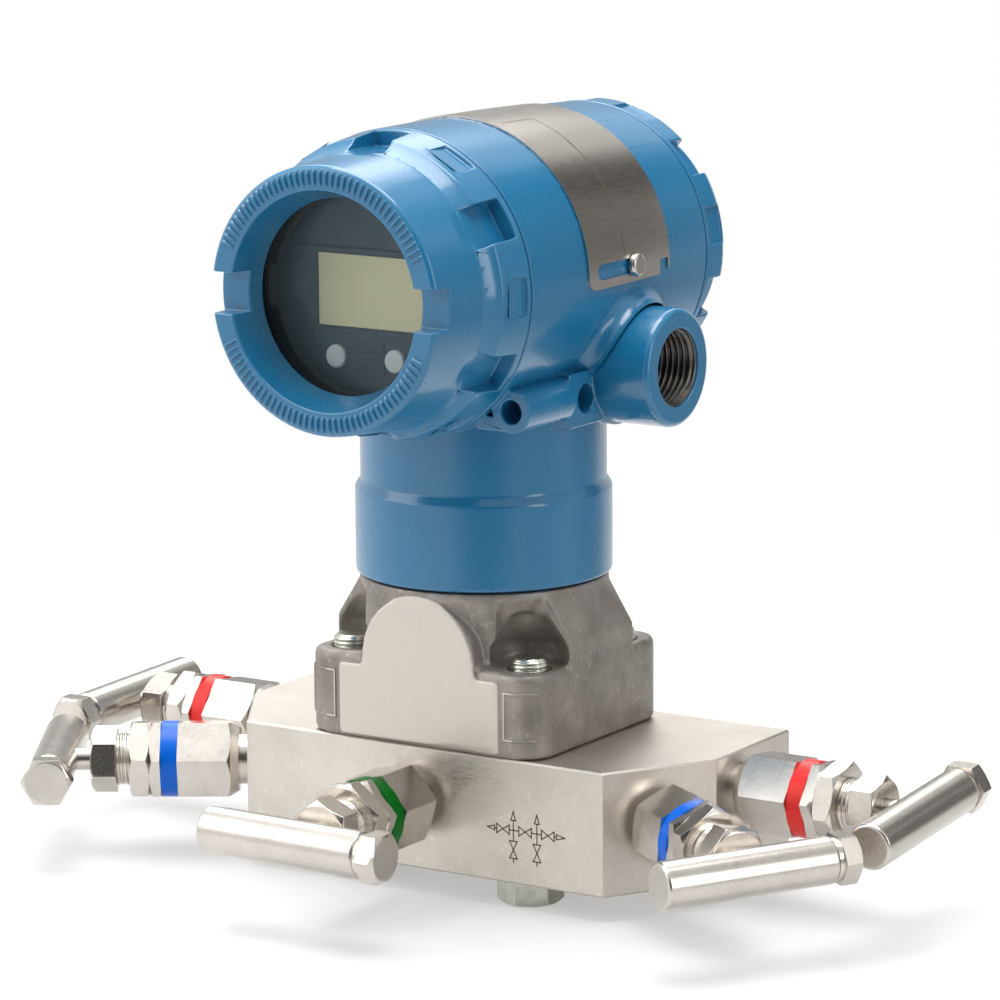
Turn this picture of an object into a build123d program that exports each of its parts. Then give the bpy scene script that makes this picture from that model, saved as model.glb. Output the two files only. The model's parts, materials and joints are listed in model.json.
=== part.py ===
from build123d import *
import os
from math import cos, radians, sin, sqrt

os.makedirs("parts", exist_ok=True)

# Frame: origin on the neck axis at the block's underside, display towards -Y, open conduit entry towards +X.

# Manifold block
block_t = 34.6
block_side_half = 76.0
block_slant_run = 18.0
block_front_y = -32.6
block_shoulder_y = -3.5
block_back_y = 36.2
block_edge = 0.5
process_pad_half = 12.0
process_relief = 0.3
bracket_hole_x = 50.0
bracket_hole_r = 3.97
bracket_hole_depth = 14.0
passage_r = 2.4
process_port_x = 27.0
process_port_r = 10.65
process_port_depth = 16.0

# Bolts from the block into the module
bolt_x = 28.6
bolt_y = 22.2
bolt_r = 5.55
bolt_root_r = 5.1
bolt_hole_clear = 0.25
bolt_head_af = 15.9
bolt_head_t = 7.1
bolt_proud = 3.2
bolt_head_turn = 33.0
bolt_end_chamfer = 0.6

# Sensor module casting
module_half_x = 38.0
module_half_y = 33.3
module_corner_r = 8.5
module_relief = 0.9
boss_h = 23.9
boss_round = 2.6
spot_depth = 0.6
spot_r = 10.0
ridge_h = 29.8
collar_band_h = 1.9
collar_r = 34.3
collar_top_h = 43.4
arch_half = 18.2
arch_crown_drop = 1.5
arch_base_half = 25.4
arch_base_h = 20.7
arch_proud = 0.6
shoulder_half_x = 21.0
shoulder_half_y = 28.0
wing_half = 16.4
scallop_r = 10.6
scallop_side_drop = 1.5
scallop_neck_r = 5.83
scallop_neck_drop = 4.5
scallop_top_drop = 1.5
pocket_root_r = 28.5
diaphragm_x = 13.5
diaphragm_r = 9.5
diaphragm_t = 0.4
gasket_r = 11.5
gasket_t = 1.0
gasket_clear = 0.1
gasket_lap = 1.5
letter_box_w = 9.0
letter_box_h = 12.6
letter_box_x = 32.4
letter_box_z = 11.8
letter_box_depth = 0.5

# Housing neck
neck_gap = 0.6
neck_lower_r = 35.3
neck_upper_r = 33.8
neck_chamfer = 0.5
neck_step_h = 67.4
neck_step_rise = 2.4
neck_bore_r = 24.0
neck_bore_h = 34.0
spigot_clear = 0.06
spigot_h = 26.0
neck_seal_r = 28.0
neck_seal_w = 4.0
neck_seal_clear = 0.02
cable_hole_r = 6.0
cable_hole_y = -17.0

# Housing body, along Y
axis_h = 127.7
body_r = 41.6
body_front_y = -39.9
body_back_y = 53.0
body_taper_y = -12.4
body_mid_y = 30.6
body_mid_drop = 0.9
body_back_drop = 1.9
body_wall = 4.6
thread_bore_depth = 14.0
chamber_step = 3.0
wall_front_y = -9.0
wall_back_y = 1.0
conduit_y = 13.4
conduit_drop = 25.6
conduit_half = 54.2
conduit_boss_r = 16.2
conduit_root_r = 17.0
conduit_root_x = 36.0
conduit_hole_r = 10.65
conduit_thread_l = 18.0
conduit_inner_r = 8.8
conduit_rim_round = 1.8
jam_boss_x = 33.0
jam_boss_drop = 31.9
jam_boss_r = 5.9
jam_boss_end_y = -37.6
jam_boss_l = 20.0
jam_boss_back_inset = 2.4
side_boss_root = 12.0
jam_hole_r = 3.2
jam_hole_depth = 9.0
ground_boss_x = 36.6
ground_boss_front_y = -14.0
ground_boss_back_y = 3.0
ground_boss_half_h = 7.4
ground_hole_r = 3.9
ground_hole_depth = 9.0
ground_boss_drop = 32.6
ledge_front_y = -36.0
ledge_drop = 35.8
ledge_t = 4.0
ledge_w = 11.0

# Covers
cover_gap = 0.3
cover_face_y = -76.5
cover_face_inset = 6.0
cover_mouth_r = 29.1
cover_edge = 0.9
lug_edge = 1.3
cover_window_r = 26.0
cover_window_y = -66.0
flank_inset = 4.5
flare_y = -56.5
lug_front_y = -53.2
lug_front_inset = 1.4
lug_inset = 0.1
lug_count = 6
channel_w = 11.4
channel_depth = 4.7
channel_front_y = -66.0
channel_margin = 2.2
pocket_w = 10.4
pocket_l = 8.0
pocket_depth = 1.3
pocket_margin = 1.6
notch_w = 11.0
notch_depth = 6.0
skirt_clear = 0.1
skirt_wall = 4.4
skirt_l = 12.0
glass_r = 30.5
glass_t = 6.0
retainer_t = 2.4
retainer_lap = 4.0
rear_face_y = 70.0
rear_end_inset = 5.1
rear_lug_over = 0.1
rear_lug_back_inset = 0.8
rear_lug_back_y = 63.6
rear_end_t = 6.0
rear_end_round = 2.0
rear_flank_inset = 3.9
rear_phase = -10.0
seal_section_r = 1.05
seal_groove_y = 2.2
seal_groove_w = 2.6
seal_groove_depth = 2.1
seal_clear = 0.05

# Display
meter_clear = 1.5
meter_face_y = -56.0
meter_back_y = -38.0
lcd_w = 31.0
lcd_h = 19.0
lcd_recess = 1.6
lcd_t = 1.2
bezel_rib = 1.2
bezel_rib_h = 0.8
button_x = 9.35
button_drop = 17.75
button_r = 3.2
button_clear = 0.08
button_proud = 1.3
button_stem = 5.0
button_bottom_gap = 1.5
button_round = 0.8
meter_slat_pitch = 1.5
meter_slat_w = 0.7
meter_slat_h = 0.6
meter_slat_drop = 4.4
meter_slat_gap = 1.0
meter_slat_count = 6
bezel_rib_over = 5.0
board_clear = 1.5
board_t = 14.0
board_gap = 1.0
board_plug_w = 14.0
board_plug_h = 6.0
board_post_r = 10.0

# Terminals in the rear compartment
terminal_r = 25.0
terminal_t = 9.0
terminal_pitch = 11.0
terminal_screw_r = 3.2
terminal_screw_h = 2.4
barrier_w = 1.4
barrier_h = 16.0
barrier_proud = 2.5

# Plug of the second conduit entry
plug_proud = 0.5
plug_l = 16.0
plug_socket_af = 10.0
plug_socket_depth = 8.0

# Nameplate
plate_t = 0.45
plate_gap = 0.02
plate_front_y = -12.4
plate_corner_r = 3.4
plate_back_y = 30.6
plate_half_angle = 93.6
plate_slot_w = 4.2
plate_slot_y0 = -8.0
plate_slot_y1 = 12.6
plate_slot_angle = 87.4
plate_window_w = 4.4
plate_window_h = 4.8
plate_window_y = 27.4
plate_window_angle = 91.0
plate_screw_y = 11.0
plate_screw_r = 3.2
plate_screw_h = 2.0
plate_screw_sink = 0.3
plate_screw_round = 1.0

# Needle valves, measured along each valve's axis from the block's face
valve_neck_r = 7.15
valve_neck_h = 3.1
valve_collar_r = 10.3
valve_collar_h = 2.2
valve_collar_taper = 1.3
valve_thread_depth = 12.0
bonnet_af = 20.6
bonnet_hex_h = 22.8
band_start = 20.2
band_w = 4.8
band_seat_r = 10.1
band_t = 0.6
lock_nut_h = 5.6
gland_r = 7.45
gland_thread_depth = 0.5
nut_chamfer = 0.9
gland_gap = 3.9
packing_nut_af = 16.3
packing_nut_h = 7.3
packing_nut_bore_depth = 5.6
stem_r = 3.175
stem_clear = 0.06
packing_r = 5.4
packing_depth = 9.0
tip_r = 3.175
tip_l = 7.0
tip_cone_l = 3.31
tip_in_seat = 2.0
tip_end_r = 0.96
tip_gap = 0.1
handle_gap = 3.75
handle_r = 6.35
handle_l = 50.0
handle_offset = 3.5
handle_round = 0.9
stem_in_bar = 3.4
bore_over = 1.0
stem_bar_clear = 0.02
handle_bolt_clear = 0.05
handle_bolt_r = 3.9
handle_bolt_af = 12.7
handle_bolt_head_t = 5.3
spring_washer_t = 1.4
spring_washer_r = 5.9

# Each valve: name, side of the block, place along its face, depth under the block's top, turn of its T-bar
valves = [
    ("vent", 0.0, -2.6, 15.0, -0.5),
    ("isolate_right", 1.0, -0.5, 15.3, 1.0),
    ("isolate_left", -1.0, 0.5, 15.0, 0.0),
    ("equalize_right", 2.0, 8.9, 10.7, 4.8),
    ("equalize_left", -2.0, -9.8, 11.3, -1.6),
]

# How far each valve's hexes are turned: bonnet, lock nut, packing nut
hex_turns = {
    "vent": (12.0, 21.0, 37.0),
    "isolate_right": (24.0, 33.0, 49.0),
    "isolate_left": (10.0, 11.0, 40.0),
    "equalize_right": (-6.0, 11.0, 19.0),
    "equalize_left": (8.0, 17.0, 33.0),
}

# Heights, fits and places worked out from the dimensions above
block_front_half = block_side_half - block_slant_run
bolt_hole_r = bolt_r + bolt_hole_clear
module_z = block_t
collar_start_h = collar_top_h - collar_band_h
arch_centre_h = collar_top_h - arch_crown_drop - arch_half
spigot_r = neck_bore_r - spigot_clear
body_mid_r = body_r - body_mid_drop
body_back_r = body_r - body_back_drop
thread_bore_r = body_r - body_wall
chamber_r = thread_bore_r - chamber_step
lug_r = body_r - lug_inset
lug_front_r = body_r - lug_front_inset
flank_r = body_r - flank_inset
cover_face_r = body_r - cover_face_inset
rear_lug_back_r = body_back_r - rear_lug_back_inset
rear_flank_r = body_back_r - rear_flank_inset
rear_end_r = body_back_r - rear_end_inset
rear_lug_r = body_back_r + rear_lug_over
skirt_r = thread_bore_r - skirt_clear
skirt_inner_r = skirt_r - skirt_wall
seal_groove_r = skirt_r - seal_groove_depth
meter_r = skirt_inner_r - meter_clear
board_r = chamber_r - board_clear
plate_screw_seat_r = body_r + plate_gap + plate_t - plate_screw_sink
gland_root_r = gland_r - gland_thread_depth
hex_start = valve_neck_h + valve_collar_h
hex_end = hex_start + bonnet_hex_h
nut_start = hex_end + lock_nut_h + gland_gap
nut_end = nut_start + packing_nut_h
handle_axis_h = nut_end + handle_gap + handle_r
neck_z = module_z + collar_top_h + neck_gap
axis_z = block_t + axis_h
conduit_z = axis_z - conduit_drop
barrel_axis = Axis((0, 0, axis_z), (0, 1, 0))
spot_z = module_z + boss_h - spot_depth
slant_len = sqrt((block_side_half - block_front_half) ** 2 + (block_shoulder_y - block_front_y) ** 2)
slant_nx = (block_shoulder_y - block_front_y) / slant_len
slant_ny = -(block_side_half - block_front_half) / slant_len
slant_mid_x = (block_front_half + block_side_half) / 2
slant_mid_y = (block_front_y + block_shoulder_y) / 2


# The plane on the block's face that a valve stands on: its z axis points out of the block, its y axis up
def valve_plane(side, along, drop):
    z = block_t - drop
    if side == 0.0:
        return Plane(origin=(along, block_front_y, z), x_dir=(1, 0, 0), z_dir=(0, -1, 0))
    sign = 1.0 if side > 0 else -1.0
    if abs(side) == 1.0:
        x = sign * slant_mid_x - along * slant_ny
        y = slant_mid_y + sign * along * slant_nx
        return Plane(
            origin=(x, y, z),
            x_dir=(-slant_ny, sign * slant_nx, 0),
            z_dir=(sign * slant_nx, slant_ny, 0),
        )
    y = sign * along
    return Plane(origin=(sign * block_side_half, y, z), x_dir=(0, sign, 0), z_dir=(sign, 0, 0))


valve_planes = {name: valve_plane(side, along, drop) for name, side, along, drop, turn in valves}


# Manifold block: six-sided plate, drilled for bolts, valves, process ports and passages
with BuildPart() as manifold_block:
    with BuildSketch():
        with BuildLine():
            Polyline(
                (-block_front_half, block_front_y),
                (block_front_half, block_front_y),
                (block_side_half, block_shoulder_y),
                (block_side_half, block_back_y),
                (-block_side_half, block_back_y),
                (-block_side_half, block_shoulder_y),
                close=True,
            )
        make_face()
    extrude(amount=block_t)
    chamfer(manifold_block.edges().group_by(Axis.Z)[-1], block_edge)
    chamfer(manifold_block.edges().group_by(Axis.Z)[0], block_edge + process_relief)
    with BuildSketch():
        Rectangle(4 * block_side_half, 4 * block_side_half)
        Rectangle(2 * block_front_half, 2 * process_pad_half, mode=Mode.SUBTRACT)
    extrude(amount=process_relief, mode=Mode.SUBTRACT)
    with BuildSketch():
        with GridLocations(2 * bolt_x, 2 * bolt_y, 2, 2):
            Circle(bolt_hole_r)
    extrude(amount=block_t, mode=Mode.SUBTRACT)
    with BuildSketch(Plane.XZ.offset(-block_back_y)):
        with Locations((-bracket_hole_x, block_t / 2), (bracket_hole_x, block_t / 2)):
            Circle(bracket_hole_r)
    extrude(amount=bracket_hole_depth, mode=Mode.SUBTRACT)
    with BuildSketch():
        with Locations((-process_port_x, 0), (process_port_x, 0)):
            Circle(process_port_r)
    extrude(amount=process_port_depth, mode=Mode.SUBTRACT)
    with BuildSketch(Plane.XY.offset(block_t)):
        with Locations((-diaphragm_x, 0), (diaphragm_x, 0)):
            Circle(passage_r)
    extrude(amount=-(block_t - process_port_depth / 2), mode=Mode.SUBTRACT)
    for plane in valve_planes.values():
        with BuildSketch(plane):
            Circle(valve_neck_r)
        extrude(amount=-valve_thread_depth, mode=Mode.SUBTRACT)
        with BuildSketch(plane.offset(-valve_thread_depth)):
            Circle(passage_r)
        extrude(amount=-valve_thread_depth, mode=Mode.SUBTRACT)
manifold_block.part.label = "manifold_block"
export_step(manifold_block.part, "parts/manifold_block.step")

# A hex prism that stands on z = 0, its corners turned off below, above or at both ends
def turned_hex(across_flats, height, turn, below, above):
    corner = across_flats / sqrt(3)
    inset = corner - nut_chamfer * sqrt(3)
    low = [(inset, 0), (corner, nut_chamfer)] if below else [(corner, 0)]
    high = [(corner, height - nut_chamfer), (inset, height)] if above else [(corner, height)]
    with BuildSketch() as flats:
        RegularPolygon(across_flats / 2, 6, major_radius=False, rotation=turn)
    extrude(flats.sketch, amount=height)
    with BuildSketch(Plane.XZ) as turned:
        with BuildLine():
            Polyline((0, 0), *low, *high, (0, height), close=True)
        make_face()
    revolve(turned.sketch, axis=Axis.Z, mode=Mode.INTERSECT)


# Four hex head bolts, heads under the block, threaded ends proud of the spot faces
with BuildPart() as bolt_head:
    turned_hex(bolt_head_af, bolt_head_t, bolt_head_turn, True, False)
with BuildPart() as flange_bolts:
    with Locations((0, 0, process_relief - bolt_head_t)):
        with GridLocations(2 * bolt_x, 2 * bolt_y, 2, 2):
            add(bolt_head.part)
    with BuildSketch(Plane.XY.offset(process_relief)):
        with GridLocations(2 * bolt_x, 2 * bolt_y, 2, 2):
            Circle(bolt_r)
    extrude(amount=spot_z - process_relief)
    with BuildSketch(Plane.XY.offset(spot_z)):
        with GridLocations(2 * bolt_x, 2 * bolt_y, 2, 2):
            Circle(bolt_root_r)
    extrude(amount=bolt_proud)
    chamfer(flange_bolts.edges().group_by(Axis.Z)[-1], bolt_end_chamfer)
flange_bolts.part.label = "flange_bolts"
export_step(flange_bolts.part, "parts/flange_bolts.step")

# Sensor module: square base, tapered wings, round collar, arch flats front and back, bolt pockets
wing_top_x = sqrt(collar_r**2 - wing_half**2)
shoulder_top_y = sqrt(collar_r**2 - shoulder_half_x**2)
with BuildPart() as bolt_pockets:
    for sx in (-1, 1):
        for sy in (-1, 1):
            with BuildSketch(Plane(origin=(sx * bolt_x, sy * bolt_y, 0), x_dir=(1, 0, 0), z_dir=(0, -1, 0))):
                with BuildLine():
                    Polyline(
                        (0, module_z + boss_h - spot_depth),
                        (spot_r, module_z + boss_h - spot_depth),
                        (spot_r, module_z + boss_h),
                        (scallop_r, module_z + boss_h),
                        (scallop_r, module_z + ridge_h - scallop_side_drop),
                        (scallop_neck_r, module_z + collar_start_h - scallop_neck_drop),
                        (0, module_z + collar_start_h - scallop_top_drop),
                        close=True,
                    )
                make_face()
            revolve(axis=Axis((sx * bolt_x, sy * bolt_y, 0), (0, 0, 1)))

with BuildPart() as sensor_module:
    with BuildSketch(Plane.XY.offset(module_z)):
        RectangleRounded(2 * module_half_x, 2 * module_half_y, module_corner_r)
    extrude(amount=boss_h)
    fillet(sensor_module.edges().group_by(Axis.Z)[-1], boss_round)
    with BuildSketch(Plane.XY.offset(module_z)):
        Rectangle(2 * module_half_x, 2 * wing_half)
        Rectangle(2 * shoulder_half_x, 2 * shoulder_half_y)
    extrude(amount=ridge_h)
    with BuildSketch(Plane.XY.offset(module_z + ridge_h)):
        Rectangle(2 * module_half_x, 2 * wing_half)
    with BuildSketch(Plane.XY.offset(module_z + collar_start_h)):
        with BuildLine():
            Line((-wing_top_x, -wing_half), (wing_top_x, -wing_half))
            ThreePointArc((wing_top_x, -wing_half), (collar_r, 0), (wing_top_x, wing_half))
            Line((wing_top_x, wing_half), (-wing_top_x, wing_half))
            ThreePointArc((-wing_top_x, wing_half), (-collar_r, 0), (-wing_top_x, -wing_half))
        make_face()
    loft(ruled=True)
    with BuildSketch(Plane.XY.offset(module_z + ridge_h)):
        Rectangle(2 * shoulder_half_x, 2 * shoulder_half_y)
    with BuildSketch(Plane.XY.offset(module_z + collar_start_h)):
        with BuildLine():
            Line((shoulder_half_x, -shoulder_top_y), (shoulder_half_x, shoulder_top_y))
            ThreePointArc(
                (shoulder_half_x, shoulder_top_y),
                (0, collar_r),
                (-shoulder_half_x, shoulder_top_y),
            )
            Line((-shoulder_half_x, shoulder_top_y), (-shoulder_half_x, -shoulder_top_y))
            ThreePointArc(
                (-shoulder_half_x, -shoulder_top_y),
                (0, -collar_r),
                (shoulder_half_x, -shoulder_top_y),
            )
        make_face()
    loft(ruled=True)
    with BuildSketch(Plane.XZ):
        with BuildLine():
            Polyline(
                (0, module_z),
                (pocket_root_r, module_z),
                (pocket_root_r, module_z + ridge_h),
                (collar_r, module_z + collar_start_h),
                (collar_r, module_z + collar_top_h),
                (0, module_z + collar_top_h),
                close=True,
            )
        make_face()
    revolve(axis=Axis.Z)
    arch_y = module_half_y + arch_proud
    with BuildSketch(Plane.XZ.offset(arch_y)):
        with Locations((0, module_z + arch_centre_h)):
            Circle(arch_half)
        with Locations((0, module_z + arch_centre_h / 2)):
            Rectangle(2 * arch_half, arch_centre_h)
        with Locations((0, module_z + arch_base_h / 2)):
            Rectangle(2 * arch_base_half, arch_base_h)
    extrude(amount=-2 * arch_y)
    add(bolt_pockets.part, mode=Mode.SUBTRACT)
    with BuildSketch(Plane.XY.offset(module_z)):
        Rectangle(4 * module_half_x, 4 * module_half_x)
        RectangleRounded(
            2 * (module_half_x - module_relief),
            2 * (module_half_y - module_relief),
            module_corner_r - module_relief,
            mode=Mode.SUBTRACT,
        )
    extrude(amount=module_relief, mode=Mode.SUBTRACT)
    with BuildSketch(Plane.XY.offset(module_z + collar_top_h)):
        Circle(spigot_r)
    extrude(amount=spigot_h)
    with BuildSketch(Plane.XY.offset(module_z)):
        with GridLocations(2 * bolt_x, 2 * bolt_y, 2, 2):
            Circle(bolt_hole_r)
    extrude(amount=boss_h, mode=Mode.SUBTRACT)
    with BuildSketch(Plane.XY.offset(module_z)):
        with Locations((-diaphragm_x, 0), (diaphragm_x, 0)):
            Circle(gasket_r)
    extrude(amount=gasket_t, mode=Mode.SUBTRACT)
    with BuildSketch(Plane.XY.offset(module_z + gasket_t)):
        with Locations((-diaphragm_x, 0), (diaphragm_x, 0)):
            Circle(diaphragm_r)
    extrude(amount=diaphragm_t, mode=Mode.SUBTRACT)
    with BuildSketch(Plane.XZ.offset(module_half_y)):
        with Locations((-letter_box_x, module_z + letter_box_z), (letter_box_x, module_z + letter_box_z)):
            Rectangle(letter_box_w, letter_box_h)
    extrude(amount=-letter_box_depth, mode=Mode.SUBTRACT)
sensor_module.part.label = "sensor_module"
export_step(sensor_module.part, "parts/sensor_module.step")

# Gasket rings between block and module, and the thin diaphragms behind them
with BuildPart() as process_gaskets:
    with BuildSketch(Plane.XY.offset(module_z)):
        with Locations((-diaphragm_x, 0), (diaphragm_x, 0)):
            Circle(gasket_r - gasket_clear)
            Circle(diaphragm_r - gasket_lap, mode=Mode.SUBTRACT)
    extrude(amount=gasket_t)
process_gaskets.part.label = "process_gaskets"
export_step(process_gaskets.part, "parts/process_gaskets.step")

with BuildPart() as isolating_diaphragms:
    with BuildSketch(Plane.XY.offset(module_z + gasket_t)):
        with Locations((-diaphragm_x, 0), (diaphragm_x, 0)):
            Circle(diaphragm_r)
    extrude(amount=diaphragm_t)
isolating_diaphragms.part.label = "isolating_diaphragms"
export_step(isolating_diaphragms.part, "parts/isolating_diaphragms.step")

# Housing: body barrel, stepped neck, conduit bosses, clamp screw bosses, two threaded chambers
with BuildPart() as housing:
    with BuildSketch(Plane.XY.offset(axis_z)):
        with BuildLine():
            Polyline((body_back_r, body_back_y), (0, body_back_y), (0, body_front_y), (body_r, body_front_y))
            Line((body_r, body_front_y), (body_r, body_taper_y))
            ThreePointArc((body_r, body_taper_y), (body_mid_r, body_mid_y), (body_back_r, body_back_y))
        make_face()
    revolve(axis=barrel_axis)
    with BuildSketch(Plane.XZ):
        with BuildLine():
            Polyline(
                (0, neck_z),
                (neck_lower_r - neck_chamfer, neck_z),
                (neck_lower_r, neck_z + neck_chamfer),
                (neck_lower_r, block_t + neck_step_h),
                (neck_upper_r, block_t + neck_step_h + neck_step_rise),
                (neck_upper_r, axis_z),
                (0, axis_z),
                close=True,
            )
        make_face()
    revolve(axis=Axis.Z)
    for sx in (-1, 1):
        with BuildSketch(Plane(origin=(0, conduit_y, conduit_z), x_dir=(0, 1, 0), z_dir=(sx, 0, 0))):
            Circle(conduit_boss_r)
        extrude(amount=conduit_half)
        outward = Axis((0, 0, 0), (sx, 0, 0))
        fillet(housing.edges().filter_by(GeomType.CIRCLE).sort_by(outward)[-1], conduit_rim_round)
        with BuildSketch(Plane(origin=(0, conduit_y, conduit_z), x_dir=(0, 1, 0), z_dir=(sx, 0, 0))):
            Circle(conduit_root_r)
        extrude(amount=conduit_root_x)
    with BuildSketch(Plane.XZ.offset(-jam_boss_end_y)):
        with Locations((jam_boss_x, axis_z - jam_boss_drop)):
            Circle(jam_boss_r)
    extrude(amount=-(ground_boss_front_y - jam_boss_end_y))
    with BuildSketch(Plane.YZ.offset(jam_boss_x - side_boss_root)):
        with Locations(((ground_boss_front_y + ground_boss_back_y) / 2, axis_z - ground_boss_drop)):
            Rectangle(ground_boss_back_y - ground_boss_front_y, 2 * ground_boss_half_h)
    extrude(amount=ground_boss_x - jam_boss_x + side_boss_root)
    with BuildSketch(Plane.YZ.offset(jam_boss_x - side_boss_root)):
        with Locations(((ledge_front_y + conduit_y) / 2, axis_z - ledge_drop)):
            Rectangle(conduit_y - ledge_front_y, ledge_t)
    extrude(amount=ledge_w)
    with BuildSketch(Plane.XZ.offset(-body_back_y + jam_boss_back_inset)):
        with Locations((-jam_boss_x, axis_z - jam_boss_drop)):
            Circle(jam_boss_r)
    extrude(amount=jam_boss_l)
    with BuildSketch(Plane.XZ.offset(-body_front_y)):
        with Locations((0, axis_z)):
            Circle(thread_bore_r)
    extrude(amount=-thread_bore_depth, mode=Mode.SUBTRACT)
    with BuildSketch(Plane.XZ.offset(-body_front_y)):
        with Locations((0, axis_z)):
            Circle(chamber_r)
    extrude(amount=-(wall_front_y - body_front_y), mode=Mode.SUBTRACT)
    with BuildSketch(Plane.XZ.offset(-body_back_y)):
        with Locations((0, axis_z)):
            Circle(thread_bore_r)
    extrude(amount=thread_bore_depth, mode=Mode.SUBTRACT)
    with BuildSketch(Plane.XZ.offset(-body_back_y)):
        with Locations((0, axis_z)):
            Circle(chamber_r)
    extrude(amount=body_back_y - wall_back_y, mode=Mode.SUBTRACT)
    with BuildSketch(Plane.XY.offset(neck_z)):
        Circle(neck_bore_r)
    extrude(amount=neck_bore_h, mode=Mode.SUBTRACT)
    with BuildSketch(Plane.XY.offset(neck_z)):
        with Locations((0, cable_hole_y)):
            Circle(cable_hole_r)
    extrude(amount=axis_z - neck_z, mode=Mode.SUBTRACT)
    with BuildSketch(Plane.YZ.offset(conduit_half)):
        with Locations((conduit_y, conduit_z)):
            Circle(conduit_inner_r)
    extrude(amount=-2 * conduit_half, mode=Mode.SUBTRACT)
    for sx in (-1, 1):
        mouth = (sx * conduit_half, conduit_y, conduit_z)
        with BuildSketch(Plane(origin=mouth, x_dir=(0, 1, 0), z_dir=(sx, 0, 0))):
            Circle(conduit_hole_r)
        extrude(amount=-conduit_thread_l, mode=Mode.SUBTRACT)
    with BuildSketch(Plane.XZ.offset(-jam_boss_end_y)):
        with Locations((jam_boss_x, axis_z - jam_boss_drop)):
            Circle(jam_hole_r)
    extrude(amount=-jam_hole_depth, mode=Mode.SUBTRACT)
    with BuildSketch(Plane.XZ.offset(-body_back_y + jam_boss_back_inset)):
        with Locations((-jam_boss_x, axis_z - jam_boss_drop)):
            Circle(jam_hole_r)
    extrude(amount=jam_hole_depth, mode=Mode.SUBTRACT)
    with BuildSketch(Plane.YZ.offset(ground_boss_x)):
        with Locations(((ground_boss_front_y + ground_boss_back_y) / 2, axis_z - ground_boss_drop)):
            Circle(ground_hole_r)
    extrude(amount=-ground_hole_depth, mode=Mode.SUBTRACT)
housing.part.label = "housing"
export_step(housing.part, "parts/housing.step")

# Nameplate: thin sheet wrapped over the barrel, slot and small window at its lower ends
plate_arcs = [
    [(body_r + lift, body_taper_y), (body_mid_r + lift, body_mid_y), (body_back_r + lift, body_back_y)]
    for lift in (plate_gap, plate_gap + plate_t)
]
with BuildPart() as nameplate:
    with BuildSketch(Plane.XY.offset(axis_z)):
        with BuildLine():
            ThreePointArc(*plate_arcs[0])
            Line(plate_arcs[0][2], plate_arcs[1][2])
            ThreePointArc(*plate_arcs[1])
            Line(plate_arcs[1][0], plate_arcs[0][0])
        make_face()
    revolve(axis=barrel_axis)
    with BuildSketch(Plane.XZ.offset(-plate_back_y)):
        with Locations((0, axis_z)):
            Circle(2 * body_r)
    extrude(amount=-2 * body_r, mode=Mode.SUBTRACT)
    with BuildSketch(Plane.XZ.offset(-plate_back_y)):
        with BuildLine():
            reach = 2 * body_r
            Polyline(
                (0, axis_z),
                (reach * sin(radians(plate_half_angle)), axis_z + reach * cos(radians(plate_half_angle))),
                (reach, axis_z - 2 * reach),
                (-reach, axis_z - 2 * reach),
                (-reach * sin(radians(plate_half_angle)), axis_z + reach * cos(radians(plate_half_angle))),
                close=True,
            )
        make_face()
    extrude(amount=plate_back_y - plate_front_y, mode=Mode.SUBTRACT)
    for sx in (-1, 1):
        slot_z = sx * body_r * cos(radians(plate_slot_angle))
        with BuildSketch(Plane(origin=(0, 0, axis_z), x_dir=(0, 1, 0), z_dir=(sx, 0, 0))):
            with Locations(((plate_slot_y0 + plate_slot_y1) / 2, slot_z)):
                SlotOverall(plate_slot_y1 - plate_slot_y0, plate_slot_w)
            with Locations((plate_window_y, sx * body_r * cos(radians(plate_window_angle)))):
                Rectangle(plate_window_w, plate_window_h)
        extrude(amount=2 * body_r, mode=Mode.SUBTRACT)
        end_z = sx * body_r * cos(radians(plate_half_angle))
        round_z = end_z + sx * plate_corner_r
        with BuildSketch(Plane(origin=(0, 0, axis_z), x_dir=(0, 1, 0), z_dir=(sx, 0, 0))):
            with Locations((plate_front_y, end_z), (plate_back_y, end_z)):
                Rectangle(2 * plate_corner_r, 2 * plate_corner_r)
            with Locations(
                (plate_front_y + plate_corner_r, round_z),
                (plate_back_y - plate_corner_r, round_z),
            ):
                Circle(plate_corner_r, mode=Mode.SUBTRACT)
        extrude(amount=2 * body_r, mode=Mode.SUBTRACT)
nameplate.part.label = "nameplate"
export_step(nameplate.part, "parts/nameplate.step")

with BuildPart() as nameplate_screws:
    for sx in (-1, 1):
        screw_z = axis_z + body_r * cos(radians(plate_slot_angle))
        screw_x = sx * plate_screw_seat_r
        with BuildSketch(Plane(origin=(screw_x, plate_screw_y, screw_z), x_dir=(0, 1, 0), z_dir=(sx, 0, 0))):
            Circle(plate_screw_r)
        extrude(amount=plate_screw_h)
    fillet(nameplate_screws.edges().sort_by(Axis.X)[-1], plate_screw_round)
    fillet(nameplate_screws.edges().sort_by(Axis.X)[0], plate_screw_round)
nameplate_screws.part.label = "nameplate_screws"
export_step(nameplate_screws.part, "parts/nameplate_screws.step")


# The lugs of a cover: channels and shallow pockets that alternate round its rim
def cut_lugs(seam_y, toward, phase, rim_r):
    span = abs(channel_front_y - body_front_y)
    for i in range(2 * lug_count):
        turn = phase + i * 180 / lug_count
        spoke = Plane(
            origin=(0, 0, axis_z),
            x_dir=(cos(radians(turn)), 0, -sin(radians(turn))),
            z_dir=(0, 1, 0),
        )
        if i % 2:
            margin = pocket_margin
            width = pocket_w
            length = pocket_l
            floor_r = rim_r - pocket_depth
        else:
            margin = channel_margin
            width = channel_w
            length = span - channel_margin
            floor_r = rim_r - channel_depth
        with BuildSketch(spoke.offset(seam_y + toward * margin)) as cut:
            with Locations((0, -(floor_r + channel_depth))):
                Rectangle(width, 2 * channel_depth)
        extrude(cut.sketch, amount=toward * length, mode=Mode.SUBTRACT)


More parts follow.
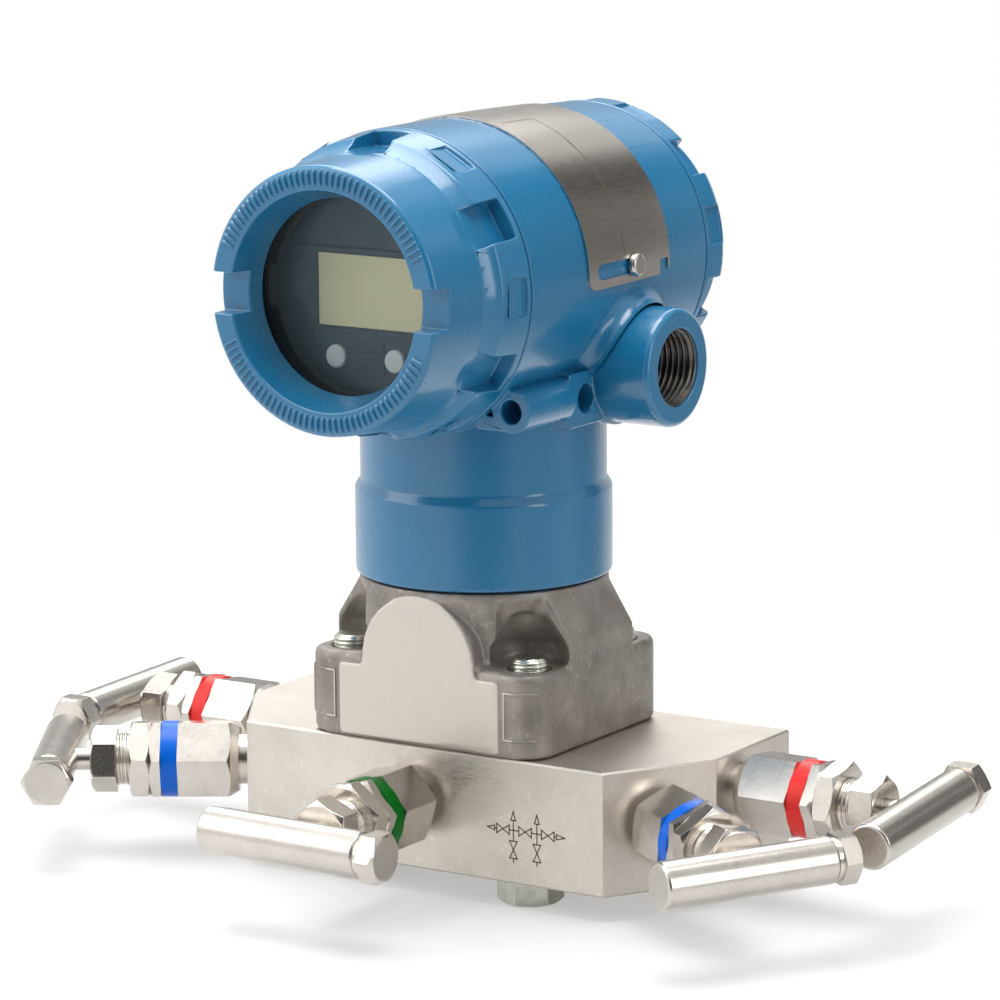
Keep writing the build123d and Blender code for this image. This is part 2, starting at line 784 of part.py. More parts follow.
# Front cover: face ring, conical mouth, window seat, flared flank, lugs and threaded skirt
seam_front = body_front_y - cover_gap
with BuildPart() as front_cover:
    with BuildSketch(Plane.XY.offset(axis_z)):
        with BuildLine():
            Polyline(
                (cover_mouth_r, cover_face_y),
                (cover_face_r - cover_edge, cover_face_y),
                (cover_face_r, cover_face_y + cover_edge),
                (flank_r, flare_y),
                (lug_front_r - lug_edge, lug_front_y),
                (lug_front_r, lug_front_y + lug_edge),
                (lug_r, seam_front),
                (skirt_r, seam_front),
                (skirt_r, seam_front + seal_groove_y - seal_groove_w / 2),
                (seal_groove_r, seam_front + seal_groove_y - seal_groove_w / 2),
                (seal_groove_r, seam_front + seal_groove_y + seal_groove_w / 2),
                (skirt_r, seam_front + seal_groove_y + seal_groove_w / 2),
                (skirt_r, seam_front + skirt_l),
                (skirt_inner_r, seam_front + skirt_l),
                (skirt_inner_r, cover_window_y + glass_t + retainer_t),
                (glass_r, cover_window_y + glass_t + retainer_t),
                (glass_r, cover_window_y),
                (cover_window_r, cover_window_y),
                close=True,
            )
        make_face()
    revolve(axis=barrel_axis)
    cut_lugs(seam_front, -1, 0.0, lug_r)
    with BuildSketch(Plane.XZ.offset(-cover_face_y)):
        with Locations((-cover_face_r, axis_z), (cover_face_r, axis_z)):
            Rectangle(3 * (cover_face_r - cover_mouth_r), notch_w)
    extrude(amount=-notch_depth, mode=Mode.SUBTRACT)
front_cover.part.label = "front_cover"
export_step(front_cover.part, "parts/front_cover.step")

with BuildPart() as window_glass:
    with BuildSketch(Plane.XZ.offset(-cover_window_y)):
        with Locations((0, axis_z)):
            Circle(glass_r)
    extrude(amount=-glass_t)
window_glass.part.label = "window_glass"
export_step(window_glass.part, "parts/window_glass.step")

with BuildPart() as glass_retainer:
    with BuildSketch(Plane.XZ.offset(-(cover_window_y + glass_t))):
        with Locations((0, axis_z)):
            Circle(glass_r)
            Circle(glass_r - retainer_lap, mode=Mode.SUBTRACT)
    extrude(amount=-retainer_t)
glass_retainer.part.label = "glass_retainer"
export_step(glass_retainer.part, "parts/glass_retainer.step")

# Rear cover: same rim of lugs, closed end
seam_back = body_back_y + cover_gap
with BuildPart() as rear_cover:
    with BuildSketch(Plane.XY.offset(axis_z)):
        with BuildLine():
            Polyline(
                (0, rear_face_y),
                (rear_end_r - rear_end_round, rear_face_y),
                (rear_end_r, rear_face_y - rear_end_round),
                (rear_flank_r, rear_lug_back_y + rear_end_round / 2),
                (rear_lug_back_r, rear_lug_back_y),
                (rear_lug_r, rear_lug_back_y - rear_end_round),
                (rear_lug_r, seam_back),
                (skirt_r, seam_back),
                (skirt_r, seam_back - seal_groove_y + seal_groove_w / 2),
                (seal_groove_r, seam_back - seal_groove_y + seal_groove_w / 2),
                (seal_groove_r, seam_back - seal_groove_y - seal_groove_w / 2),
                (skirt_r, seam_back - seal_groove_y - seal_groove_w / 2),
                (skirt_r, seam_back - skirt_l),
                (skirt_inner_r, seam_back - skirt_l),
                (skirt_inner_r, rear_face_y - rear_end_t),
                (0, rear_face_y - rear_end_t),
                close=True,
            )
        make_face()
    revolve(axis=barrel_axis)
    cut_lugs(seam_back, 1, rear_phase, rear_lug_r)
rear_cover.part.label = "rear_cover"
export_step(rear_cover.part, "parts/rear_cover.step")


# A seal ring in the groove round a cover's skirt
def seal_ring(y):
    with BuildSketch(Plane.XY.offset(axis_z)) as ring:
        with Locations((seal_groove_r + seal_section_r + seal_clear, y)):
            Circle(seal_section_r)
    revolve(ring.sketch, axis=barrel_axis)


with BuildPart() as front_seal:
    seal_ring(seam_front + seal_groove_y)
front_seal.part.label = "front_seal"
export_step(front_seal.part, "parts/front_seal.step")

with BuildPart() as rear_seal:
    seal_ring(seam_back - seal_groove_y)
rear_seal.part.label = "rear_seal"
export_step(rear_seal.part, "parts/rear_seal.step")

# Meter case: black disc with a recessed panel, ribbed strip and two button holes
with BuildPart() as meter_case:
    with BuildSketch(Plane.XZ.offset(-meter_face_y)):
        with Locations((0, axis_z)):
            Circle(meter_r)
    extrude(amount=-(meter_back_y - meter_face_y))
    with BuildSketch(Plane.XZ.offset(-meter_face_y)):
        with Locations((0, axis_z)):
            Rectangle(lcd_w, lcd_h)
    extrude(amount=-lcd_recess - lcd_t, mode=Mode.SUBTRACT)
    with BuildSketch(Plane.XZ.offset(-meter_face_y)):
        for side in (-1, 1):
            with Locations((0, axis_z + side * (lcd_h / 2 + bezel_rib))):
                Rectangle(lcd_w + 2 * bezel_rib_over, bezel_rib)
    extrude(amount=bezel_rib_h)
    with BuildSketch(Plane.XZ.offset(-meter_face_y)):
        for i in range(meter_slat_count):
            with Locations((0, axis_z - lcd_h / 2 - meter_slat_drop - meter_slat_pitch * i)):
                Rectangle(2 * (button_x - button_r) - meter_slat_gap, meter_slat_w)
    extrude(amount=meter_slat_h)
    with BuildSketch(Plane.XZ.offset(-meter_face_y)):
        with Locations((-button_x, axis_z - button_drop), (button_x, axis_z - button_drop)):
            Circle(button_r + button_clear)
    extrude(amount=-button_stem - button_bottom_gap, mode=Mode.SUBTRACT)
meter_case.part.label = "meter_case"
export_step(meter_case.part, "parts/meter_case.step")

with BuildPart() as lcd_panel:
    with BuildSketch(Plane.XZ.offset(-(meter_face_y + lcd_recess))):
        with Locations((0, axis_z)):
            Rectangle(lcd_w, lcd_h)
    extrude(amount=-lcd_t)
lcd_panel.part.label = "lcd_panel"
export_step(lcd_panel.part, "parts/lcd_panel.step")

for button_name, sx in (("left_button", -1), ("right_button", 1)):
    with BuildPart() as button:
        with BuildSketch(Plane.XZ.offset(-(meter_face_y - button_proud))):
            with Locations((sx * button_x, axis_z - button_drop)):
                Circle(button_r)
        extrude(amount=-(button_proud + button_stem))
        fillet(button.edges().sort_by(Axis.Y)[0], button_round)
    button.part.label = button_name
    export_step(button.part, "parts/" + button_name + ".step")

# Electronics puck behind the meter
with BuildPart() as electronics:
    with BuildSketch(Plane.XZ.offset(-(meter_back_y + board_gap))):
        with Locations((0, axis_z)):
            Circle(board_r)
    extrude(amount=-board_t)
    with BuildSketch(Plane.XZ.offset(-meter_back_y)):
        with Locations((0, axis_z)):
            Rectangle(board_plug_w, board_plug_h)
    extrude(amount=-board_gap)
    with BuildSketch(Plane.XZ.offset(-(meter_back_y + board_gap + board_t))):
        with Locations((0, axis_z)):
            Circle(board_post_r)
    extrude(amount=-(wall_front_y - meter_back_y - board_gap - board_t))
electronics.part.label = "electronics"
export_step(electronics.part, "parts/electronics.step")

# Terminal block on the wall of the rear compartment
with BuildPart() as terminal_block:
    with BuildSketch(Plane.XZ.offset(-wall_back_y)):
        with Locations((0, axis_z)):
            Circle(terminal_r)
    extrude(amount=-terminal_t)
    for i in range(4):
        with BuildSketch(Plane.XZ.offset(-(wall_back_y + terminal_t))):
            with Locations(((i - 1.5) * terminal_pitch, axis_z)):
                Rectangle(barrier_w, barrier_h)
        extrude(amount=-barrier_proud)
terminal_block.part.label = "terminal_block"
export_step(terminal_block.part, "parts/terminal_block.step")

with BuildPart() as terminal_screws:
    for i in range(3):
        with BuildSketch(Plane.XZ.offset(-(wall_back_y + terminal_t))):
            with Locations(((i - 1) * terminal_pitch, axis_z)):
                Circle(terminal_screw_r)
        extrude(amount=-terminal_screw_h)
terminal_screws.part.label = "terminal_screws"
export_step(terminal_screws.part, "parts/terminal_screws.step")

# Plug in the hidden conduit entry: threaded shank and flush hex socket
with BuildPart() as conduit_plug:
    with BuildSketch(Plane.YZ.offset(-conduit_half - plug_proud)):
        with Locations((conduit_y, conduit_z)):
            Circle(conduit_hole_r)
    extrude(amount=plug_l)
    with BuildSketch(Plane.YZ.offset(-conduit_half - plug_proud)):
        with Locations((conduit_y, conduit_z)):
            RegularPolygon(plug_socket_af / 2, 6, major_radius=False)
    extrude(amount=plug_socket_depth, mode=Mode.SUBTRACT)
conduit_plug.part.label = "conduit_plug"
export_step(conduit_plug.part, "parts/conduit_plug.step")

# Seal ring under the neck
with BuildPart() as neck_seal:
    with BuildSketch(Plane.XZ):
        with Locations((neck_seal_r, module_z + collar_top_h + neck_gap / 2 - neck_seal_clear)):
            Rectangle(neck_seal_w, neck_gap - 2 * neck_seal_clear)
    revolve(axis=Axis.Z)
neck_seal.part.label = "neck_seal"
export_step(neck_seal.part, "parts/neck_seal.step")


# The outline of a valve bonnet's turned parts, from the thread in the block to the gland thread
def bonnet_profile():
    gland_end = nut_start + packing_nut_bore_depth
    Polyline(
        (0, -valve_thread_depth),
        (valve_neck_r, -valve_thread_depth),
        (valve_neck_r, valve_neck_h),
        (valve_collar_r - valve_collar_taper, valve_neck_h),
        (valve_collar_r, hex_start),
        (band_seat_r, hex_start),
        (band_seat_r, hex_end),
        (gland_r, hex_end),
        (gland_r, hex_end + lock_nut_h),
        (gland_root_r, hex_end + lock_nut_h),
        (gland_root_r, nut_start),
        (gland_r, nut_start),
        (gland_r, gland_end),
        (0, gland_end),
        close=True,
    )


with BuildPart() as handle_bolt_head:
    turned_hex(handle_bolt_af, handle_bolt_head_t, 0, False, True)
with BuildPart() as inner_hex:
    turned_hex(bonnet_af, band_start - hex_start, 0, True, False)
with BuildPart() as outer_hex:
    turned_hex(bonnet_af, hex_end - band_start - band_w, 0, False, True)

for name, side, along, drop, turn in valves:
    plane = valve_planes[name]
    side_plane = Plane(origin=plane.origin, x_dir=plane.x_dir, z_dir=-plane.y_dir)
    axis = Axis(plane.origin, plane.z_dir)
    with BuildPart() as bonnet:
        with BuildSketch(side_plane):
            with BuildLine():
                bonnet_profile()
            make_face()
        revolve(axis=axis)
        with Locations(plane.offset(hex_start)):
            add(inner_hex.part, rotation=(0, 0, hex_turns[name][0]))
        with Locations(plane.offset(band_start + band_w)):
            add(outer_hex.part, rotation=(0, 0, hex_turns[name][0]))
        with BuildSketch(plane.offset(-valve_thread_depth)):
            Circle(stem_r + stem_clear)
        extrude(amount=nut_end + valve_thread_depth, mode=Mode.SUBTRACT)
        with BuildSketch(plane.offset(nut_start + packing_nut_bore_depth)):
            Circle(packing_r)
        extrude(amount=-packing_depth, mode=Mode.SUBTRACT)
    bonnet.part.label = name + "_bonnet"
    export_step(bonnet.part, "parts/" + name + "_bonnet.step")

    with BuildPart() as tip:
        with BuildSketch(side_plane):
            with BuildLine():
                Polyline(
                    (0, -valve_thread_depth - tip_in_seat),
                    (tip_end_r, -valve_thread_depth - tip_in_seat),
                    (tip_r, -valve_thread_depth - tip_in_seat + tip_cone_l),
                    (tip_r, -valve_thread_depth + tip_l),
                    (0, -valve_thread_depth + tip_l),
                    close=True,
                )
            make_face()
        revolve(axis=axis)
    tip.part.label = name + "_tip"
    export_step(tip.part, "parts/" + name + "_tip.step")

    with BuildPart() as stem:
        with BuildSketch(plane.offset(-valve_thread_depth + tip_l + tip_gap)):
            Circle(stem_r)
        extrude(amount=handle_axis_h + stem_in_bar + valve_thread_depth - tip_l - tip_gap)
    stem.part.label = name + "_stem"
    export_step(stem.part, "parts/" + name + "_stem.step")

    handle_frame = Plane(
        origin=plane.from_local_coords((0, 0, handle_axis_h)),
        x_dir=plane.from_local_coords((cos(radians(turn)), sin(radians(turn)), 0)) - plane.origin,
        z_dir=plane.z_dir,
    )
    bar_start = handle_l / 2 - handle_offset
    bar_plane = Plane(
        origin=handle_frame.from_local_coords((bar_start, 0, 0)),
        x_dir=handle_frame.z_dir,
        z_dir=-handle_frame.x_dir,
    )
    with BuildPart() as handle_bar:
        with BuildSketch(bar_plane):
            Circle(handle_r)
        extrude(amount=handle_l)
        fillet(handle_bar.edges().filter_by(GeomType.CIRCLE), handle_round)
        with BuildSketch(plane.offset(handle_axis_h - handle_r - bore_over)):
            Circle(stem_r + stem_bar_clear)
        extrude(amount=handle_r + bore_over + stem_in_bar, mode=Mode.SUBTRACT)
        with BuildSketch(bar_plane):
            Circle(handle_bolt_r + handle_bolt_clear)
        extrude(amount=bar_start, mode=Mode.SUBTRACT)
    handle_bar.part.label = name + "_handle"
    export_step(handle_bar.part, "parts/" + name + "_handle.step")

    with BuildPart() as handle_bolt:
        with BuildSketch(bar_plane):
            Circle(spring_washer_r)
        extrude(amount=-spring_washer_t)
        with Locations(Plane(bar_plane.offset(-spring_washer_t).origin, bar_plane.x_dir, -bar_plane.z_dir)):
            add(handle_bolt_head.part)
        with BuildSketch(bar_plane):
            Circle(handle_bolt_r)
        extrude(amount=bar_start - stem_r - handle_bolt_clear)
    handle_bolt.part.label = name + "_handle_bolt"
    export_step(handle_bolt.part, "parts/" + name + "_handle_bolt.step")

# Lock nut on the gland thread, then the packing nut with its blind end round the stem
with BuildPart() as lock_nut:
    turned_hex(bonnet_af, lock_nut_h, 0, True, True)
    with BuildSketch():
        Circle(gland_r)
    extrude(amount=lock_nut_h, mode=Mode.SUBTRACT)
with BuildPart() as packing_nut:
    turned_hex(packing_nut_af, packing_nut_h, 0, False, True)
    with BuildSketch():
        Circle(gland_r)
    extrude(amount=packing_nut_bore_depth, mode=Mode.SUBTRACT)
    with BuildSketch():
        Circle(stem_r + stem_clear)
    extrude(amount=packing_nut_h, mode=Mode.SUBTRACT)

with BuildPart() as lock_nuts:
    for name, plane in valve_planes.items():
        with Locations(plane.offset(hex_end)):
            add(lock_nut.part, rotation=(0, 0, hex_turns[name][1]))
lock_nuts.part.label = "lock_nuts"
export_step(lock_nuts.part, "parts/lock_nuts.step")

with BuildPart() as packing_nuts:
    for name, plane in valve_planes.items():
        with Locations(plane.offset(nut_start)):
            add(packing_nut.part, rotation=(0, 0, hex_turns[name][2]))
packing_nuts.part.label = "packing_nuts"
export_step(packing_nuts.part, "parts/packing_nuts.step")

with BuildPart() as stem_packings:
    for plane in valve_planes.values():
        with BuildSketch(plane.offset(nut_start + packing_nut_bore_depth)):
            Circle(packing_r)
            Circle(stem_r + stem_clear, mode=Mode.SUBTRACT)
        extrude(amount=-packing_depth)
stem_packings.part.label = "stem_packings"
export_step(stem_packings.part, "parts/stem_packings.step")

bands = {
    "green_band": ["vent"],
    "blue_bands": ["isolate_left", "isolate_right"],
    "red_bands": ["equalize_left", "equalize_right"],
}
for band_name, members in bands.items():
    with BuildPart() as band:
        for name in members:
            with BuildSketch(valve_planes[name].offset(band_start)):
                Circle(band_seat_r + band_t)
                Circle(band_seat_r, mode=Mode.SUBTRACT)
            extrude(amount=band_w)
    band.part.label = band_name
    export_step(band.part, "parts/" + band_name + ".step")
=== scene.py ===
import json
import math

import bpy
import numpy as np
from mathutils import Matrix

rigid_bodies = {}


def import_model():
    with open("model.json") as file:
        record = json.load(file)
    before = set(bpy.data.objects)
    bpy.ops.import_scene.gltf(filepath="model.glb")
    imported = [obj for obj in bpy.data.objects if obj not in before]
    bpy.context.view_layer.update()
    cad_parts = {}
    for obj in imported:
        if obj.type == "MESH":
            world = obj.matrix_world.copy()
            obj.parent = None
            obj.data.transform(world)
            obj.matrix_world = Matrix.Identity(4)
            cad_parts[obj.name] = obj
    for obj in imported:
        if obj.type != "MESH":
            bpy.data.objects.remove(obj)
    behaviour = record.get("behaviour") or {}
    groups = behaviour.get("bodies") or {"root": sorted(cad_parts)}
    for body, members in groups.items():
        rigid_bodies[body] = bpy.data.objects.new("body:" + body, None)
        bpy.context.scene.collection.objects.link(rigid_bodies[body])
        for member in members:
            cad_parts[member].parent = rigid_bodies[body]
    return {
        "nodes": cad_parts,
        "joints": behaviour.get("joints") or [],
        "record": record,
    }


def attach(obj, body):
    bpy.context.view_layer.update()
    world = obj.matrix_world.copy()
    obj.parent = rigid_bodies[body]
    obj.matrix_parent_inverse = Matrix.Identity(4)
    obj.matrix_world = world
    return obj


bl_info = {
    "name": "Pressure transmitter dressing",
    "version": (1, 0, 0),
    "blender": (4, 5, 0),
    "location": "3D View > Sidebar > Transmitter",
    "description": "Finishes, threads and marks for a pressure transmitter on a five-valve manifold",
    "category": "Object",
}

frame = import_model()
NODES = frame["nodes"]
JOINTS = {j["name"]: j for j in frame["joints"]}
MM = 0.001

# Heights and places shared with the solids, in millimetres
BLOCK_FRONT_Y = -32.6
AXIS_H = 162.3
BODY_R = 41.6
PLATE_R = 42.05
TAPER_START = -12.4
COVER_FACE_Y = -76.5
METER_FACE_Y = -56.0
CONDUIT = (54.2, 13.4, 136.7)
BOSS_ROOT_R = 17.0
ARCH_CENTRE_Z = 58.3
ARCH_R = 18.2
ARCH_FACE_Y = 33.6
BOLT_PLACES = [(-28.6, -22.2), (28.6, -22.2), (-28.6, 22.2), (28.6, 22.2)]
BOLT_END = 61.1
FLOOR_Z = -6.8

# The module's front wings and the bare box cast on each
WING_HALF = 38.0
WING_FRONT = 33.3
WING_CORNER = 8.5
CAST_BOX = (-1.6, 7.6, 40.4, 52.4)

# Where the added threads start and end: along a valve from the block, below the bolt ends, and in the conduit entry
GLAND_THREAD = (33.6, 37.7)
BOLT_THREAD = (BOLT_END - 3.3, BOLT_END - 0.7)
CONDUIT_THREAD = (36.4, CONDUIT[0] - 0.8)

# The added detail of the housing and covers, in millimetres and degrees
RIB_CENTRE_R = 32.35
RIB_WIDTH = 0.9
RIB_REACH = 66.1
RIB_STEP = 3.3
BLEND_R = 4.5
DISPLAY = (-15.0, 18.6, -9.6, 9.6)
DISPLAY_Y = METER_FACE_Y - 0.12
PLATE_TAPER = (0.00534, 0.0003626)
PLATE_LINES = [[(-8.2, 16.5), (6.7, 16.5)], [(7.0, 17.0), (7.0, 59.0)], [(6.5, 73.0), (6.5, 83.0)]]

# The camera that was fitted to the photograph: angles in degrees, place in metres
CAMERA_AZIMUTH = 32.80
CAMERA_ELEVATION = 11.015
CAMERA_ROLL = -0.398
CAMERA_LENS = 174.79
CAMERA_PLACE = (0.71247, -1.09737, 0.35195)

# Soft boxes: name, place in metres, width, height, watts
LAMPS = [
    ("key", (-1.2, -1.0, 1.1), 1.3, 1.5, 9.0),
    ("top", (-0.1, 0.0, 1.6), 1.3, 1.0, 26.0),
    ("side", (1.5, -0.2, 0.5), 0.35, 1.0, 4.0),
]
LAMP_TARGET = (0.0, 0.0, 0.1)

# Soft round patches of the surroundings: direction, full within and gone beyond these degrees, level in, level out
ROOM_GLOW = ((-0.6, -0.8, 0.1), 30, 110, 1.0, 0.72)
ROOM_PATCHES = [
    ((0.53, -0.83, 0.22), 14, 42, 0.06, 1.0),
    ((0.25, 0.86, 0.44), 4, 17, 0.06, 1.0),
    ((0.54, 0.83, 0.16), 7, 19, 0.2, 1.0),
    ((0.58, 0.8, -0.4), 6, 30, 0.4, 1.0),
    ((-0.4, 0.57, 0.7), 9, 23, 5.0, 1.0),
    ((0.95, -0.1, 0.15), 8, 30, 0.4, 1.0),
    ((-0.53, 0.83, 0.13), 7, 22, 0.5, 1.0),
]


class TransmitterSizes(bpy.types.PropertyGroup):
    """Sizes of the added detail."""

    gland_root: bpy.props.FloatProperty(
        name="Gland root radius", description="Radius at the root of the packing gland's thread",
        default=6.97 * MM, unit="LENGTH", precision=5,
    )
    gland_crest: bpy.props.FloatProperty(
        name="Gland crest radius", description="Radius at the crest of the packing gland's thread",
        default=7.45 * MM, unit="LENGTH", precision=5,
    )
    gland_pitch: bpy.props.FloatProperty(
        name="Gland pitch", description="Distance from crest to crest of the gland's thread",
        default=1.27 * MM, unit="LENGTH", precision=5,
    )
    bolt_crest: bpy.props.FloatProperty(
        name="Bolt crest radius", description="Radius at the crest of the flange bolts' thread",
        default=5.55 * MM, unit="LENGTH", precision=5,
    )
    bolt_root: bpy.props.FloatProperty(
        name="Bolt root radius", description="Radius at the root of the flange bolts' thread",
        default=5.12 * MM, unit="LENGTH", precision=5,
    )
    bolt_pitch: bpy.props.FloatProperty(
        name="Bolt pitch", description="Distance from crest to crest of the flange bolts' thread",
        default=1.27 * MM, unit="LENGTH", precision=5,
    )
    conduit_crest: bpy.props.FloatProperty(
        name="Conduit crest radius", description="Smallest radius of the thread inside the conduit entry",
        default=9.55 * MM, unit="LENGTH", precision=5,
    )
    conduit_root: bpy.props.FloatProperty(
        name="Conduit root radius", description="Largest radius of the thread inside the conduit entry",
        default=10.6 * MM, unit="LENGTH", precision=5,
    )
    conduit_pitch: bpy.props.FloatProperty(
        name="Conduit pitch", description="Distance from crest to crest of the conduit thread",
        default=1.814 * MM, unit="LENGTH", precision=5,
    )
    rib_height: bpy.props.FloatProperty(
        name="Cover rib height", description="How far the grip ribs stand out of the front cover's face",
        default=0.75 * MM, unit="LENGTH", precision=5,
    )
    rib_length: bpy.props.FloatProperty(
        name="Cover rib length", description="Length of a grip rib along the cover's radius",
        default=4.3 * MM, unit="LENGTH", precision=5,
    )
    mark_width: bpy.props.FloatProperty(
        name="Mark width", description="Line width of the flow diagram on the block",
        default=0.36 * MM, unit="LENGTH", precision=5,
    )


class TransmitterColours(bpy.types.PropertyGroup):
    """Base colours of the finishes, linear."""

    paint: bpy.props.FloatVectorProperty(
        name="Paint", description="Blue enamel of the housing and covers",
        subtype="COLOR", size=3, min=0, max=1, default=(0.010, 0.166, 0.338),
    )
    casting: bpy.props.FloatVectorProperty(
        name="Casting", description="Blasted steel of the sensor module",
        subtype="COLOR", size=3, min=0, max=1, default=(0.300, 0.270, 0.245),
    )
    block: bpy.props.FloatVectorProperty(
        name="Block", description="Brushed steel of the manifold block",
        subtype="COLOR", size=3, min=0, max=1, default=(0.640, 0.595, 0.540),
    )
    turned: bpy.props.FloatVectorProperty(
        name="Turned steel", description="Machined steel of valves, nuts and bolts",
        subtype="COLOR", size=3, min=0, max=1, default=(0.640, 0.600, 0.550),
    )
    zinc: bpy.props.FloatVectorProperty(
        name="Yellow zinc", description="Plating of the flange bolts",
        subtype="COLOR", size=3, min=0, max=1, default=(0.660, 0.660, 0.590),
    )
    display: bpy.props.FloatVectorProperty(
        name="Display", description="Film of the display panel",
        subtype="COLOR", size=3, min=0, max=1, default=(0.960, 0.910, 0.560),
    )
    button: bpy.props.FloatVectorProperty(
        name="Button", description="Moulded plastic of the two push buttons",
        subtype="COLOR", size=3, min=0, max=1, default=(0.920, 1.000, 0.970),
    )
    green: bpy.props.FloatVectorProperty(
        name="Green sleeve", description="Sleeve of the vent valve",
        subtype="COLOR", size=3, min=0, max=1, default=(0.000, 0.140, 0.012),
    )
    blue: bpy.props.FloatVectorProperty(
        name="Blue sleeve", description="Sleeves of the isolating valves",
        subtype="COLOR", size=3, min=0, max=1, default=(0.000, 0.120, 0.620),
    )
    red: bpy.props.FloatVectorProperty(
        name="Red sleeve", description="Sleeves of the equalising valves",
        subtype="COLOR", size=3, min=0, max=1, default=(0.820, 0.035, 0.030),
    )


# Mesh building


def new_piece(name, verts, faces, body, material):
    """A mesh object from arrays of corners and faces, riding on a body, with one material."""
    mesh = bpy.data.meshes.new(name)
    mesh.from_pydata(np.asarray(verts, float).reshape(-1, 3), [], np.asarray(faces).tolist())
    mesh.validate()
    mesh.update()
    mesh.polygons.foreach_set("use_smooth", np.ones(len(mesh.polygons), bool))
    obj = bpy.data.objects.new(name, mesh)
    bpy.context.scene.collection.objects.link(obj)
    mesh.materials.append(material)
    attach(obj, body)
    return obj


def grid_faces(rows, cols, wrap=False):
    """Faces of a rows by cols grid of corners, closed round the columns if wrap is set."""
    r = np.arange(rows - 1)[:, None]
    c = np.arange(cols if wrap else cols - 1)[None, :]
    n = (c + 1) % cols
    quads = np.stack([r * cols + c, r * cols + n, (r + 1) * cols + n, (r + 1) * cols + c], -1)
    return quads.reshape(-1, 4)


def many(verts, faces):
    """Corners of shape (copies, n, 3) and one face list become one mesh: each copy's faces count on by n."""
    copies, n = verts.shape[:2]
    shifted = np.asarray(faces)[None] + (np.arange(copies) * n)[:, None, None]
    return verts.reshape(-1, 3), shifted.reshape(-1, np.asarray(faces).shape[1])


def frame_of(axis):
    """Three unit vectors: two across the axis and the axis itself."""
    w = np.asarray(axis, float)
    w = w / np.linalg.norm(w)
    u = np.cross((0.0, 0.0, 1.0), w) if abs(w[2]) < 0.9 else np.array((1.0, 0.0, 0.0))
    u = u / np.linalg.norm(u)
    return u, np.cross(w, u), w


def thread(origin, axis, start, end, root, crest, pitch, around=64, steps=7):
    """A screw thread as one skin: radius = root + (crest - root) * saw(z / pitch - turn), where saw is a rounded
    triangle wave, z runs from start to end along the axis and turn is the share of a full circle."""
    rows = max(int((end - start) / pitch * steps), 4) + 1
    z = np.linspace(start, end, rows)[:, None]
    a = np.linspace(0, 2 * np.pi, around, endpoint=False)[None, :]
    wave = 0.5 - 0.5 * np.cos(2 * np.pi * (z / pitch) - a)
    fade = np.clip(np.minimum(z - start, end - z) / (0.3 * pitch), 0, 1)
    radius = root + (crest - root) * np.sqrt(wave) * fade
    u, v, w = frame_of(axis)
    pts = (
        np.asarray(origin, float)
        + (radius * np.cos(a))[..., None] * u
        + (radius * np.sin(a))[..., None] * v
        + (z + 0 * a)[..., None] * w
    )
    return pts.reshape(-1, 3), grid_faces(rows, around, wrap=True)


def ribbon(points, width, normal):
    """Flat line segments: each segment is widened by half the width along the cross product of its own direction
    and the surface normal, and lies on the given plane."""
    p = np.asarray(points, float)
    n = np.asarray(normal, float)
    d = p[:, 1] - p[:, 0]
    d = d / np.linalg.norm(d, axis=1, keepdims=True)
    side = np.cross(n, d) * width / 2
    ends = d * width / 2
    a, b = p[:, 0] - ends, p[:, 1] + ends
    verts = np.stack([a + side, a - side, b - side, b + side], 1)
    return many(verts, [[0, 1, 2, 3]])


def rolled(points, width, radius, radius_at, axis_z, cuts=12):
    """Lines drawn on a barrel along Y: each goes from (y0, angle0) to (y1, angle1), angles from the top, and lies at
    radius_at(y); its width is across its own direction on the surface unrolled at the given radius."""
    p = np.asarray(points, float)
    t = np.linspace(0, 1, cuts)[None, :]
    y = p[:, 0, :1] + (p[:, 1, :1] - p[:, 0, :1]) * t
    arc = (p[:, 0, 1:] + (p[:, 1, 1:] - p[:, 0, 1:]) * t) * radius
    dy, da = y[:, -1:] - y[:, :1], arc[:, -1:] - arc[:, :1]
    length = np.hypot(dy, da)
    ny, na = -da / length * width / 2, dy / length * width / 2
    yy = np.stack([y + ny, y - ny], -1)
    aa = np.stack([arc + na, arc - na], -1) / radius
    r = radius_at(yy)
    verts = np.stack([r * np.sin(aa), yy, axis_z + r * np.cos(aa)], -1)
    return many(verts.reshape(len(p), -1, 3), grid_faces(cuts, 2))


# Materials


